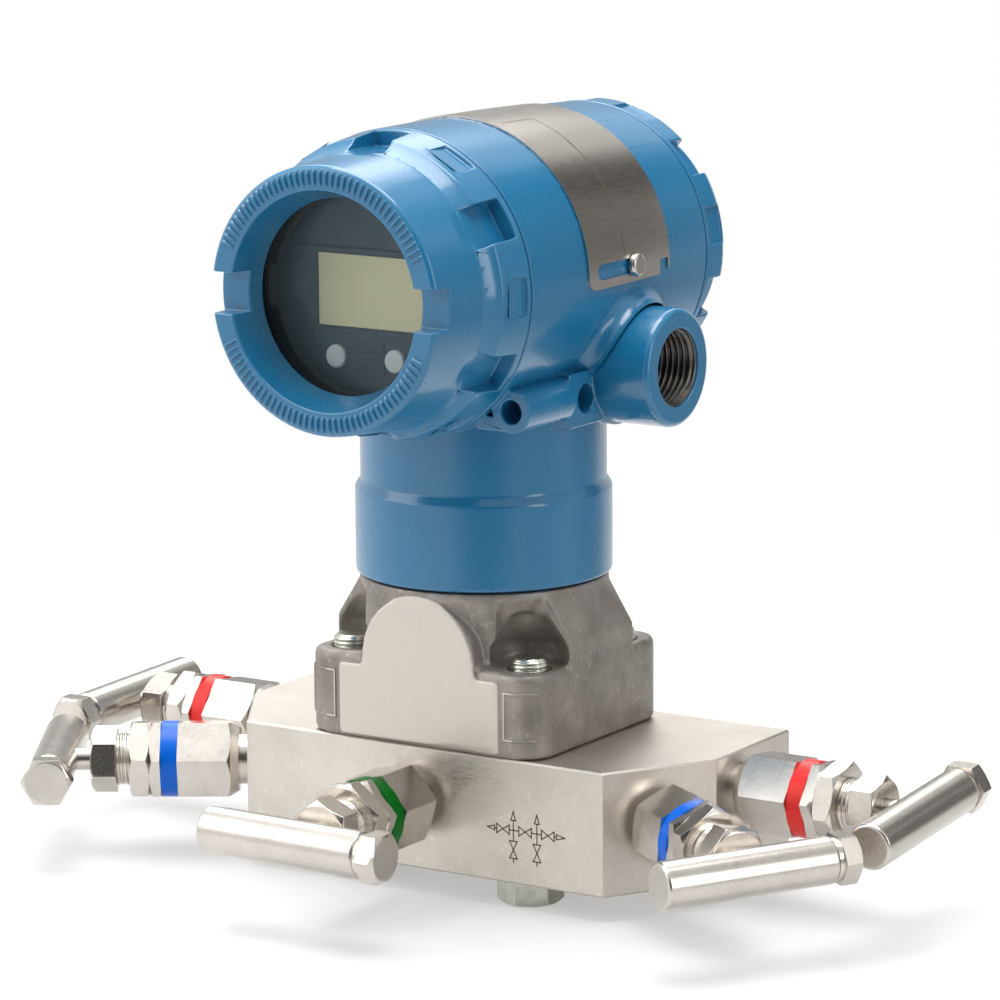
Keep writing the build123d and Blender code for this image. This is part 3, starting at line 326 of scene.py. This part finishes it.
class Tree:
    """A small helper that adds nodes to one material and wires them."""

    def __init__(self, name):
        self.material = bpy.data.materials.new(name)
        self.material.use_nodes = True
        self.nodes = self.material.node_tree.nodes
        self.links = self.material.node_tree.links
        self.shader = self.nodes["Principled BSDF"]
        self.place = self.nodes.new("ShaderNodeTexCoord").outputs["Object"]

    def wire(self, out, target):
        """A link from one node's output to another's input."""
        self.links.new(out, target)

    def noise(self, scale, stretch=(1, 1, 1), detail=3.0, rough=0.55):
        """Noise of that many cycles per metre, stretched along the axes where stretch is small."""
        mapping = self.nodes.new("ShaderNodeMapping")
        mapping.inputs["Scale"].default_value = stretch
        self.wire(self.place, mapping.inputs["Vector"])
        node = self.nodes.new("ShaderNodeTexNoise")
        node.inputs["Scale"].default_value = scale
        node.inputs["Detail"].default_value = detail
        node.inputs["Roughness"].default_value = rough
        self.wire(mapping.outputs["Vector"], node.inputs["Vector"])
        return node.outputs["Fac"]

    def spread(self, value, low, high, start=0.3, end=0.7):
        """The value carried from start..end to low..high, held at the ends."""
        node = self.nodes.new("ShaderNodeMapRange")
        node.inputs["From Min"].default_value = start
        node.inputs["From Max"].default_value = end
        node.inputs["To Min"].default_value = low
        node.inputs["To Max"].default_value = high
        self.wire(value, node.inputs["Value"])
        return node.outputs["Result"]

    def mix(self, factor, first, second):
        """First colour where the factor is 0 and the second where it is 1."""
        node = self.nodes.new("ShaderNodeMix")
        node.data_type = "RGBA"
        self.wire(factor, node.inputs[0])
        for socket, value in ((node.inputs[6], first), (node.inputs[7], second)):
            if hasattr(value, "is_linked"):
                self.wire(value, socket)
            else:
                socket.default_value = (*value, 1.0)
        return node.outputs[2]

    def bump(self, value, strength, distance, under=None):
        """A bump of that depth in metres, on top of another one if given."""
        node = self.nodes.new("ShaderNodeBump")
        node.inputs["Strength"].default_value = strength
        node.inputs["Distance"].default_value = distance
        self.wire(value, node.inputs["Height"])
        if under is not None:
            self.wire(under, node.inputs["Normal"])
        return node.outputs["Normal"]

    def math(self, operation, first, second=0.0):
        """One arithmetic step on two values, each a number or another node's output."""
        node = self.nodes.new("ShaderNodeMath")
        node.operation = operation
        for socket, value in ((node.inputs[0], first), (node.inputs[1], second)):
            if hasattr(value, "is_linked"):
                self.wire(value, socket)
            else:
                socket.default_value = value
        return node.outputs[0]

    def part(self, axis):
        """One coordinate of the place on the object, in metres: 0 for X, 1 for Y, 2 for Z."""
        node = self.nodes.new("ShaderNodeSeparateXYZ")
        self.wire(self.place, node.inputs[0])
        return node.outputs[axis]


def shade(colour, factor):
    """The colour made darker or lighter by a factor, held below 1."""
    return tuple(min(c * factor, 1.0) for c in colour)


def finish(name, colour, metallic, roughness, spread=0.12, patches=60.0, grain=(900.0, (1, 1, 1)),
           grain_depth=0.00002, waves=None, coat=0.0, rough_spread=0.05, scuffs=0.0, strength=0.2, gloss=0.5):
    """A surface with uneven colour in soft patches, a fine grain in bump and gloss, slow waves if given, and light
    scuffs where a second noise runs high."""
    t = Tree(name)
    t.shader.inputs["Metallic"].default_value = metallic
    t.shader.inputs["Coat Weight"].default_value = coat
    t.shader.inputs["Coat Roughness"].default_value = 0.12
    t.shader.inputs["Specular IOR Level"].default_value = gloss
    cloud = t.noise(patches, detail=4.0)
    fine = t.noise(grain[0], grain[1], detail=4.0)
    tone = t.mix(t.spread(cloud, 0, 1), shade(colour, 1 - spread), shade(colour, 1 + spread))
    if scuffs:
        worn = t.spread(t.noise(patches * 7, (1, 1.6, 0.7), detail=6.0, rough=0.7), 0, scuffs, 0.57, 0.69)
        tone = t.mix(worn, tone, shade(colour, 1.7))
    t.wire(tone, t.shader.inputs["Base Color"])
    t.wire(t.spread(fine, roughness - rough_spread, roughness + rough_spread), t.shader.inputs["Roughness"])
    normal = t.bump(fine, strength, grain_depth)
    if waves:
        normal = t.bump(t.noise(waves[0], detail=2.0), 0.5, waves[1], normal)
    t.wire(normal, t.shader.inputs["Normal"])
    return t


def make_materials(colours):
    """Every finish of the object by its slot name."""
    even = (1, 1, 1)
    fine = (6000, even)
    made = {
        "blue_paint": finish("blue enamel", colours.paint, 0.0, 0.28, spread=0.05, patches=25, grain=(700, even),
                             grain_depth=0.0000005, waves=(90, 0.00002), coat=0.75, gloss=0.45, rough_spread=0.01),
        "cast_steel": finish("blasted casting", colours.casting, 0.55, 0.46, spread=0.28, patches=80,
                             grain=(2200, even), grain_depth=0.00004, waves=(200, 0.0002), scuffs=0.8, strength=0.5),
        "block_steel": finish("brushed block", colours.block, 1.0, 0.42, spread=0.07, patches=60,
                              grain=(2600, (0.2, 1, 1)), grain_depth=0.00002, scuffs=0.24, strength=0.5,
                              rough_spread=0.1),
        "valve_steel": finish("machined valve", colours.turned, 1.0, 0.22, spread=0.09, patches=160, grain=fine,
                              grain_depth=0.00001, waves=(400, 0.00001), scuffs=0.15, rough_spread=0.1),
        "turned_steel": finish("turned steel", colours.turned, 1.0, 0.21, spread=0.08, patches=150, grain=fine,
                               grain_depth=0.00001, waves=(400, 0.00001), scuffs=0.15, rough_spread=0.08),
        "bar_steel": finish("polished bar", shade(colours.turned, 0.94), 1.0, 0.25, spread=0.06, patches=110,
                            grain=fine, grain_depth=0.00001, scuffs=0.12, rough_spread=0.08),
        "plate_steel": finish("satin plate", shade(colours.turned, 0.95), 1.0, 0.24, spread=0.03, patches=40,
                              grain=(3000, (1, 0.05, 1)), grain_depth=0.000001, rough_spread=0.03),
        "thin_steel": finish("diaphragm foil", colours.turned, 1.0, 0.2, patches=200, grain=fine),
        "white_ptfe": finish("packing white", (0.8, 0.8, 0.78), 0.0, 0.5, spread=0.04, patches=300, grain=fine),
        "zinc_bolt": finish("yellow zinc", colours.zinc, 1.0, 0.24, spread=0.12, patches=350, grain=fine, scuffs=0.1),
        "black_rubber": finish("seal rubber", (0.02, 0.02, 0.02), 0.0, 0.6, patches=300, grain=fine),
        "black_plastic": finish("meter plastic", (0.042, 0.080, 0.098), 0.0, 0.36, spread=0.1, patches=90,
                                grain=(1800, even), grain_depth=0.0001, strength=0.5),
        "lcd_film": finish("display film", colours.display, 0.0, 0.3, spread=0.02, patches=40, grain=fine,
                           grain_depth=0.000001, coat=0.2),
        "pale_plastic": finish("button plastic", colours.button, 0.0, 0.38, spread=0.03, patches=200, grain=fine),
        "green_sleeve": finish("green sleeve", colours.green, 0.0, 0.3, spread=0.06, patches=160, grain=fine,
                               gloss=0.1),
        "blue_sleeve": finish("blue sleeve", colours.blue, 0.0, 0.3, spread=0.06, patches=160, grain=fine,
                               gloss=0.25),
        "red_sleeve": finish("red sleeve", colours.red, 0.0, 0.3, spread=0.06, patches=160, grain=fine,
                               gloss=0.25),
    }
    glass = finish("window glass", (0.02, 0.025, 0.025), 0.0, 0.04, spread=0.05, patches=30, grain=fine,
                   grain_depth=0.0000005, rough_spread=0.01)
    glass.shader.inputs["Alpha"].default_value = 0.14
    glass.shader.inputs["IOR"].default_value = 2.2
    glass.shader.inputs["Specular Tint"].default_value = (0.72, 0.9, 1.0, 1.0)
    made["clear_glass"] = glass
    mill_arch_flats(made["cast_steel"], colours)
    return {slot: tree.material for slot, tree in made.items()}


def mill_arch_flats(tree, colours):
    """The front and back flats of the casting are milled: there the colour is light and the surface smoother."""
    front = tree.math("GREATER_THAN", tree.math("ABSOLUTE", tree.part(1)), ARCH_FACE_Y * MM)
    rise = tree.math("MAXIMUM", tree.math("SUBTRACT", tree.part(2), ARCH_CENTRE_Z * MM), 0.0)
    reach = tree.math("ADD", tree.math("POWER", tree.part(0), 2.0), tree.math("POWER", rise, 2.0))
    inside = tree.math("LESS_THAN", reach, (ARCH_R * MM) ** 2)
    proud = tree.math("MULTIPLY", front, tree.math("MAXIMUM", inside, tree.math("LESS_THAN", rise, 1e-6)))
    fine = tree.noise(1300.0, (1, 1, 0.08), detail=4.0)
    light = tree.mix(tree.spread(fine, 0, 1), colours.block[:], shade(colours.block, 1.03))
    for socket, value in (("Base Color", light), ("Roughness", tree.spread(fine, 0.37, 0.42))):
        target = tree.shader.inputs[socket]
        old = target.links[0].from_socket
        if socket == "Base Color":
            tree.wire(tree.mix(proud, old, value), target)
        else:
            keep = tree.math("MULTIPLY", old, tree.math("SUBTRACT", 1.0, proud))
            tree.wire(tree.math("ADD", keep, tree.math("MULTIPLY", value, proud)), target)


MATERIALS = {}


class OBJECT_OT_transmitter_finishes(bpy.types.Operator):
    """Give every solid its finish, rounded edges and smooth faces"""

    bl_idname = "object.transmitter_finishes"
    bl_label = "Finish the solids"

    def execute(self, context):
        MATERIALS.update(make_materials(context.scene.transmitter_colours))
        slots = {s["node"]: s["material_slot"] for s in frame["record"]["subparts"]}
        for name, obj in NODES.items():
            obj.data.materials.clear()
            obj.data.materials.append(MATERIALS[slots[name]])
            obj.data.polygons.foreach_set("use_smooth", np.ones(len(obj.data.polygons), bool))
            weld = obj.modifiers.new("Merge", "WELD")
            weld.merge_threshold = 0.00001
            width = EDGE_ROUNDS.get(name, EDGE_ROUNDS.get(slots[name], 0.15 * MM))
            self.soften(obj, width, slots[name])
        # Painted shade: the glass retainer, turned steel in the record, is given the black seal rubber so that it
        # shows as the dark inside of the cover's mouth.
        NODES["glass_retainer"].data.materials[0] = MATERIALS["black_rubber"]
        return {"FINISHED"}

    @staticmethod
    def soften(obj, width, slot):
        """Round the edges by the width; the casting gets an even mesh and is smoothed instead. A wrapped sheet only
        has its edges kept crisp, and a turned nut keeps its small faces, so that its chamfers shade evenly."""
        if not width:
            split = obj.modifiers.new("Crisp edges", "EDGE_SPLIT")
            split.split_angle = math.radians(30)
            return
        if slot == "cast_steel":
            even = obj.modifiers.new("Even mesh", "REMESH")
            even.mode = "VOXEL"
            even.voxel_size = 0.6 * MM
            even.use_smooth_shade = True
            melt = obj.modifiers.new("Cast corners", "SMOOTH")
            melt.factor = 0.5
            melt.iterations = 7
            return
        if slot != "turned_steel":
            planar = obj.modifiers.new("Whole faces", "DECIMATE")
            planar.decimate_type = "DISSOLVE"
            planar.angle_limit = math.radians(0.8)
        bevel = obj.modifiers.new("Rounded edges", "BEVEL")
        bevel.width = width
        bevel.segments = 3
        bevel.limit_method = "ANGLE"
        bevel.angle_limit = math.radians(24)
        bevel.use_clamp_overlap = slot != "blue_paint"
        weighted = obj.modifiers.new("Flat faces", "WEIGHTED_NORMAL")
        weighted.weight = 80
        weighted.keep_sharp = True


# Edge rounding in metres by node or slot
EDGE_ROUNDS = {
    "blue_paint": 0.45 * MM,
    "cast_steel": 0.6 * MM,
    "block_steel": 0.15 * MM,
    "valve_steel": 0.25 * MM,
    "turned_steel": 0.2 * MM,
    "nameplate": 0.0,
}


class OBJECT_OT_transmitter_threads(bpy.types.Operator):
    """Cut the visible screw threads: packing glands, flange bolts and the conduit entry"""

    bl_idname = "object.transmitter_threads"
    bl_label = "Threads"

    def execute(self, context):
        s = context.scene.transmitter_sizes
        for name, joint in JOINTS.items():
            if name.endswith("_turn") and joint["parent"].endswith("_needle"):
                verts, faces = thread(
                    joint["pos_m"], joint["axis"], GLAND_THREAD[0] * MM, GLAND_THREAD[1] * MM, s.gland_root,
                    s.gland_crest, s.gland_pitch,
                )
                new_piece(name.removesuffix("_turn") + "_gland_thread", verts, faces, "base",
                          MATERIALS["turned_steel"])
        for i, (x, y) in enumerate(BOLT_PLACES):
            verts, faces = thread(
                (x * MM, y * MM, 0), (0, 0, 1), BOLT_THREAD[0] * MM, BOLT_THREAD[1] * MM, s.bolt_root,
                s.bolt_crest, s.bolt_pitch,
            )
            new_piece("bolt_thread_%d" % (i + 1), verts, faces, "base", MATERIALS["zinc_bolt"])
        verts, faces = thread(
            (0, CONDUIT[1] * MM, CONDUIT[2] * MM), (1, 0, 0), CONDUIT_THREAD[0] * MM, CONDUIT_THREAD[1] * MM,
            s.conduit_root, s.conduit_crest, s.conduit_pitch, around=96, steps=9,
        )
        # The conduit thread is a fifth as bright as the turned steel: partly its own dark brownish metal and partly
        # painted shade of the bore.
        dark_metal_and_shade = finish("dark thread with painted shade", shade(context.scene.transmitter_colours.turned, 0.2), 1.0, 0.36, spread=0.3,
                      patches=400, grain=(3000, (1, 1, 1)), scuffs=0.2).material
        new_piece("conduit_thread", verts, faces[:, ::-1], "head", dark_metal_and_shade)
        return {"FINISHED"}


class OBJECT_OT_transmitter_cover_ribs(bpy.types.Operator):
    """Raise two arcs of grip ribs on the front cover's face"""

    bl_idname = "object.transmitter_cover_ribs"
    bl_label = "Cover ribs"

    def execute(self, context):
        s = context.scene.transmitter_sizes
        upper = np.arange(0.1 - RIB_REACH, RIB_REACH, RIB_STEP)
        angles = np.radians(np.concatenate([upper, upper + 180]))
        verts, faces = self.ribs(angles, RIB_CENTRE_R * MM, s.rib_length, RIB_WIDTH * MM, s.rib_height)
        new_piece("cover_ribs", verts, faces, "front_cover_turned", MATERIALS["blue_paint"])
        return {"FINISHED"}

    @staticmethod
    def ribs(angles, radius, length, width, height):
        """Rounded bars on the cover's face: over a bar, the height is height * (1 - |u|^4) * (1 - |v|^4)^(1/2) with
        u along the radius and v across, and its foot is sunk a little into the face."""
        u = np.linspace(-1, 1, 9)[:, None]
        v = np.linspace(-1, 1, 7)[None, :]
        rise = height * np.sqrt(np.clip(1 - u**4, 0, 1) * np.clip(1 - v**4, 0, 1))
        across = (v + 0 * u) * width / 2
        along = radius + (u + 0 * v) * length / 2
        a = angles[:, None, None]
        x = along * np.sin(a) + across * np.cos(a)
        z = AXIS_H * MM + along * np.cos(a) - across * np.sin(a)
        y = COVER_FACE_Y * MM + 0.05 * MM - rise + 0 * a
        verts = np.stack([x, np.broadcast_to(y, x.shape), z], -1)
        return many(verts.reshape(len(angles), -1, 3), grid_faces(9, 7)[:, ::-1])


class OBJECT_OT_transmitter_blends(bpy.types.Operator):
    """Fill the corners where the conduit bosses leave the barrel, frame the display and outline the cast boxes"""

    bl_idname = "object.transmitter_blends"
    bl_label = "Blends and display frame"

    def execute(self, context):
        for side in (-1, 1):
            verts, faces = self.blend(CONDUIT[1], CONDUIT[2] - AXIS_H, BOSS_ROOT_R, BLEND_R, side)
            new_piece("boss_blend_%s" % ("left" if side < 0 else "right"), verts, faces, "head",
                      MATERIALS["blue_paint"])
        film = np.array([[(x, DISPLAY_Y, AXIS_H + z) for x in np.linspace(DISPLAY[0], DISPLAY[1], 9)]
                         for z in np.linspace(DISPLAY[2], DISPLAY[3], 6)]) * MM
        new_piece("display_film", film, grid_faces(6, 9), "head", MATERIALS["lcd_film"])
        verts, faces = self.border(DISPLAY, 0.55, 0.5, lambda u, v, lift: (u, DISPLAY_Y - lift + 0 * u, AXIS_H + v))
        new_piece("display_border", verts, faces, "head", MATERIALS["black_plastic"])
        for name, side in (("left", -1), ("right", 1)):
            verts, faces = self.border(CAST_BOX, 0.9, 0.5, lambda u, v, lift: self.wing_corner(u, v, lift, side))
            new_piece("cast_box_" + name, verts, faces[:, ::side], "base", MATERIALS["cast_steel"])
        return {"FINISHED"}

    @staticmethod
    def wing_corner(u, v, lift, side):
        """A place on the module's front and round its corner: u runs along the front up to 0, then on round the arc
        of radius WING_CORNER, v goes up and lift stands off the skin."""
        a = np.clip(u, 0, None) / WING_CORNER
        r = WING_CORNER + lift - 0.15
        x = WING_HALF - WING_CORNER + np.clip(u, None, 0) + r * np.sin(a)
        return side * x, WING_CORNER - WING_FRONT - r * np.cos(a), v + 0 * a

    @staticmethod
    def blend(y0, z0, boss, ball, side):
        """The skin of a ball that rolls in the corner between the barrel, radius BODY_R round Y, and a boss round an
        axis along X at y0, z0. The ball's centre lies at the sum of the radii from both axes; the skin is the short
        arc between its two touching points."""
        a = np.linspace(0, 2 * np.pi, 96, endpoint=False)
        cy, cz = y0 + (boss + ball) * np.cos(a), z0 + (boss + ball) * np.sin(a)
        cx = side * np.sqrt(np.clip((BODY_R - 0.35 + ball) ** 2 - cz**2, 0, None))
        centre = np.stack([cx, cy, cz], -1)
        on_barrel = np.stack([-cx, 0 * cx, -cz], -1) / np.hypot(cx, cz)[:, None]
        on_boss = np.stack([0 * cx, -np.cos(a), -np.sin(a)], -1)
        t = np.linspace(-0.06, 1.06, 11)[:, None, None]
        mixed = on_barrel * (1 - t) + on_boss * t
        skin = centre + ball * mixed / np.linalg.norm(mixed, axis=-1, keepdims=True)
        skin[..., 2] += AXIS_H
        faces = grid_faces(11, 96, wrap=True)
        return skin * MM, faces if side > 0 else faces[:, ::-1]

    @staticmethod
    def border(reach, width, height, place, cuts=12):
        """A rounded bead round a rectangle: its section is half an ellipse of the width and height, each side is cut
        evenly, and place carries (along, up, lift) to the object."""
        u0, u1, v0, v1 = reach
        corners = np.array([(u0, v0), (u1, v0), (u1, v1), (u0, v1)])
        outward = np.array([(-1, -1), (1, -1), (1, 1), (-1, 1)])
        a = np.linspace(0, np.pi, 9)
        ring = corners[None] + 0.5 * width * (1 - np.cos(a))[:, None, None] * outward[None]
        t = np.linspace(0, 1, cuts, endpoint=False)[:, None]
        path = (ring[:, :, None] * (1 - t) + np.roll(ring, -1, axis=1)[:, :, None] * t).reshape(9, -1, 2)
        verts = np.stack(place(path[..., 0], path[..., 1], height * np.sin(a)[:, None]), -1)
        return verts * MM, grid_faces(9, 4 * cuts, wrap=True)[:, ::-1]


class OBJECT_OT_transmitter_marks(bpy.types.Operator):
    """Draw the flow diagram on the block and the engraved lines of the nameplate"""

    bl_idname = "object.transmitter_marks"
    bl_label = "Marks"

    def execute(self, context):
        s = context.scene.transmitter_sizes
        ink = finish("etched mark", (0.15, 0.11, 0.06), 0.3, 0.5, patches=300).material
        verts, faces = ribbon(self.diagram(), s.mark_width, (0, -1, 0))
        new_piece("flow_diagram", verts, faces, "base", ink)
        lines = np.array(PLATE_LINES) * (MM, math.radians(1))
        verts, faces = rolled(lines, 0.35 * MM, PLATE_R * MM, self.plate_radius, AXIS_H * MM)
        new_piece("plate_lines", verts, faces, "head", ink)
        return {"FINISHED"}

    @staticmethod
    def plate_radius(y):
        """Just outside the wrapped plate: the barrel's taper is a line plus a square, both from TAPER_START on."""
        back = np.clip(y / MM - TAPER_START, 0, None)
        return (PLATE_R + 0.04 - PLATE_TAPER[0] * back - PLATE_TAPER[1] * back**2) * MM

    @staticmethod
    def diagram():
        """Pairs of points of the generic five-valve flow diagram, in metres on the block's front face."""
        y = BLOCK_FRONT_Y - 0.03
        left, right, row = 29.8, 37.3, 15.2
        segments = []

        def loop(*points):
            segments.extend(zip(points, points[1:] + points[:1]))

        def tie(x, z, along, across, upright=False):
            a, b = (across, along) if upright else (along, across)
            low, high = ((x - a, z - b), (x + a, z - b)) if upright else ((x - a, z - b), (x - a, z + b))
            far_low, far_high = ((x - a, z + b), (x + a, z + b)) if upright else ((x + a, z - b), (x + a, z + b))
            loop(low, high, (x, z))
            loop(far_low, far_high, (x, z))

        for x in (left - 3.3, left + 3.75, right + 3.45):
            tie(x, row, 2.0, 1.3)
        loop((left - 8.3, row), (left - 6.0, row + 0.65), (left - 6.0, row - 0.65))
        loop((right + 8.8, row), (right + 6.2, row + 0.7), (right + 6.2, row - 0.7))
        segments.extend([((left - 6.0, row), (left - 5.3, row)), ((left - 1.3, row), (left + 1.75, row)),
                         ((left + 5.75, row), (right + 1.45, row)), ((right + 5.45, row), (right + 6.2, row))])
        for x in (left, right):
            loop((x, row + 5.2), (x - 0.75, row + 2.75), (x + 0.75, row + 2.75))
            segments.extend([((x, row + 2.75), (x, row - 3.0)), ((x, row - 7.8), (x, row - 8.9))])
            tie(x, row - 5.4, 2.4, 1.2, upright=True)
        return np.array([[(a[0], y, a[1]), (b[0], y, b[1])] for a, b in segments]) * MM


class OBJECT_OT_transmitter_stage(bpy.types.Operator):
    """Set the pale floor, the soft lamps, the surroundings and the camera"""

    bl_idname = "object.transmitter_stage"
    bl_label = "Stage"

    def execute(self, context):
        self.camera(context)
        self.floor(context)
        self.lamps(context)
        self.surroundings(context)
        context.scene.view_settings.view_transform = "Standard"
        return {"FINISHED"}

    @staticmethod
    def camera(context):
        """The camera's axes from its angles: back, away from the object, then level, then turned by the roll."""
        azimuth, elevation, roll = np.radians([CAMERA_AZIMUTH, CAMERA_ELEVATION, CAMERA_ROLL])
        back = np.array([math.sin(azimuth) * math.cos(elevation), -math.cos(azimuth) * math.cos(elevation),
                         math.sin(elevation)])
        level = np.array([math.cos(azimuth), math.sin(azimuth), 0.0])
        upward = np.cross(back, level)
        right = math.cos(roll) * level + math.sin(roll) * upward
        up = -math.sin(roll) * level + math.cos(roll) * upward
        data = bpy.data.cameras.new("camera")
        data.lens = CAMERA_LENS
        data.sensor_width = 36.0
        data.clip_end = 20.0
        cam = bpy.data.objects.new("camera", data)
        context.scene.collection.objects.link(cam)
        columns = [(right[i], up[i], back[i], CAMERA_PLACE[i]) for i in range(3)]
        cam.matrix_world = Matrix([*columns, (0, 0, 0, 1)])
        context.scene.camera = cam

    @staticmethod
    def floor(context):
        """A round sheet that fades out at its rim, so that no edge shows against the surroundings."""
        t = Tree("floor")
        distance = t.nodes.new("ShaderNodeVectorMath")
        distance.operation = "LENGTH"
        t.wire(t.place, distance.inputs[0])
        t.shader.inputs["Roughness"].default_value = 0.7
        grain = t.noise(40.0)
        t.wire(t.mix(grain, (0.75, 0.75, 0.75), (0.77, 0.77, 0.77)), t.shader.inputs["Base Color"])
        t.wire(t.spread(distance.outputs["Value"], 0.6, 0.0, 0.2, 0.5), t.shader.inputs["Alpha"])
        radii = np.linspace(0, 0.6, 13)[:, None]
        a = np.linspace(0, 2 * np.pi, 96, endpoint=False)[None, :]
        verts = np.stack([radii * np.cos(a), radii * np.sin(a), 0 * radii * a + FLOOR_Z * MM], -1).reshape(-1, 3)
        mesh = bpy.data.meshes.new("floor")
        mesh.from_pydata(verts, [], grid_faces(13, 96, wrap=True)[:, ::-1].tolist())
        mesh.materials.append(t.material)
        obj = bpy.data.objects.new("floor", mesh)
        context.scene.collection.objects.link(obj)

    @staticmethod
    def lamps(context):
        """Soft boxes that face the middle of the object."""
        for name, place, width, height, watts in LAMPS:
            data = bpy.data.lights.new(name, "AREA")
            data.shape = "RECTANGLE"
            data.size = width
            data.size_y = height
            data.energy = watts
            obj = bpy.data.objects.new(name, data)
            context.scene.collection.objects.link(obj)
            back = np.array(place) - np.array(LAMP_TARGET)
            u, v, w = frame_of(back)
            obj.matrix_world = Matrix([(u[i], v[i], w[i], place[i]) for i in range(3)] + [(0, 0, 0, 1)])

    @staticmethod
    def surroundings(context):
        """A bright room with dark and bright patches for the metal to mirror, and plain white for the camera."""
        world = bpy.data.worlds.new("surroundings")
        world.use_nodes = True
        context.scene.world = world
        nodes, links = world.node_tree.nodes, world.node_tree.links
        nodes.clear()
        coords = nodes.new("ShaderNodeTexCoord")

        def lobe(direction, near, far, inside, outside):
            """A level that changes from inside to outside as the angle to the direction grows, in degrees."""
            dot = nodes.new("ShaderNodeVectorMath")
            dot.operation = "DOT_PRODUCT"
            dot.inputs[1].default_value = np.asarray(direction) / np.linalg.norm(direction)
            links.new(coords.outputs["Generated"], dot.inputs[0])
            span = nodes.new("ShaderNodeMapRange")
            span.interpolation_type = "SMOOTHSTEP"
            span.inputs["From Min"].default_value = math.cos(math.radians(far))
            span.inputs["From Max"].default_value = math.cos(math.radians(near))
            span.inputs["To Min"].default_value = outside
            span.inputs["To Max"].default_value = inside
            links.new(dot.outputs["Value"], span.inputs["Value"])
            return span.outputs["Result"]

        level = lobe(*ROOM_GLOW)
        for patch in ROOM_PATCHES:
            product = nodes.new("ShaderNodeMath")
            product.operation = "MULTIPLY"
            links.new(level, product.inputs[0])
            links.new(lobe(*patch), product.inputs[1])
            level = product.outputs[0]
        room = nodes.new("ShaderNodeBackground")
        links.new(level, room.inputs["Color"])
        white = nodes.new("ShaderNodeBackground")
        white.inputs["Color"].default_value = (1, 1, 1, 1)
        ray = nodes.new("ShaderNodeLightPath")
        pick = nodes.new("ShaderNodeMixShader")
        out = nodes.new("ShaderNodeOutputWorld")
        links.new(ray.outputs["Is Camera Ray"], pick.inputs[0])
        links.new(room.outputs[0], pick.inputs[1])
        links.new(white.outputs[0], pick.inputs[2])
        links.new(pick.outputs[0], out.inputs[0])


STEPS = (
    OBJECT_OT_transmitter_finishes,
    OBJECT_OT_transmitter_threads,
    OBJECT_OT_transmitter_cover_ribs,
    OBJECT_OT_transmitter_blends,
    OBJECT_OT_transmitter_marks,
    OBJECT_OT_transmitter_stage,
)


class VIEW3D_PT_transmitter(bpy.types.Panel):
    """Lists the steps in the order in which they run"""

    bl_idname = "VIEW3D_PT_transmitter"
    bl_label = "Transmitter"
    bl_space_type = "VIEW_3D"
    bl_region_type = "UI"
    bl_category = "Transmitter"

    def draw(self, context):
        for step in STEPS:
            self.layout.operator(step.bl_idname)
        for group in (context.scene.transmitter_sizes, context.scene.transmitter_colours):
            box = self.layout.box()
            for name in group.__annotations__:
                box.prop(group, name)


CLASSES = (TransmitterSizes, TransmitterColours, *STEPS, VIEW3D_PT_transmitter)


def register():
    for item in CLASSES:
        bpy.utils.register_class(item)
    bpy.types.Scene.transmitter_sizes = bpy.props.PointerProperty(type=TransmitterSizes)
    bpy.types.Scene.transmitter_colours = bpy.props.PointerProperty(type=TransmitterColours)


def unregister():
    del bpy.types.Scene.transmitter_colours
    del bpy.types.Scene.transmitter_sizes
    for item in reversed(CLASSES):
        bpy.utils.unregister_class(item)


def main():
    register()
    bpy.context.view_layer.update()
    for step in STEPS:
        category, name = step.bl_idname.split(".")
        getattr(getattr(bpy.ops, category), name)()


if __name__ == "__main__":
    main()
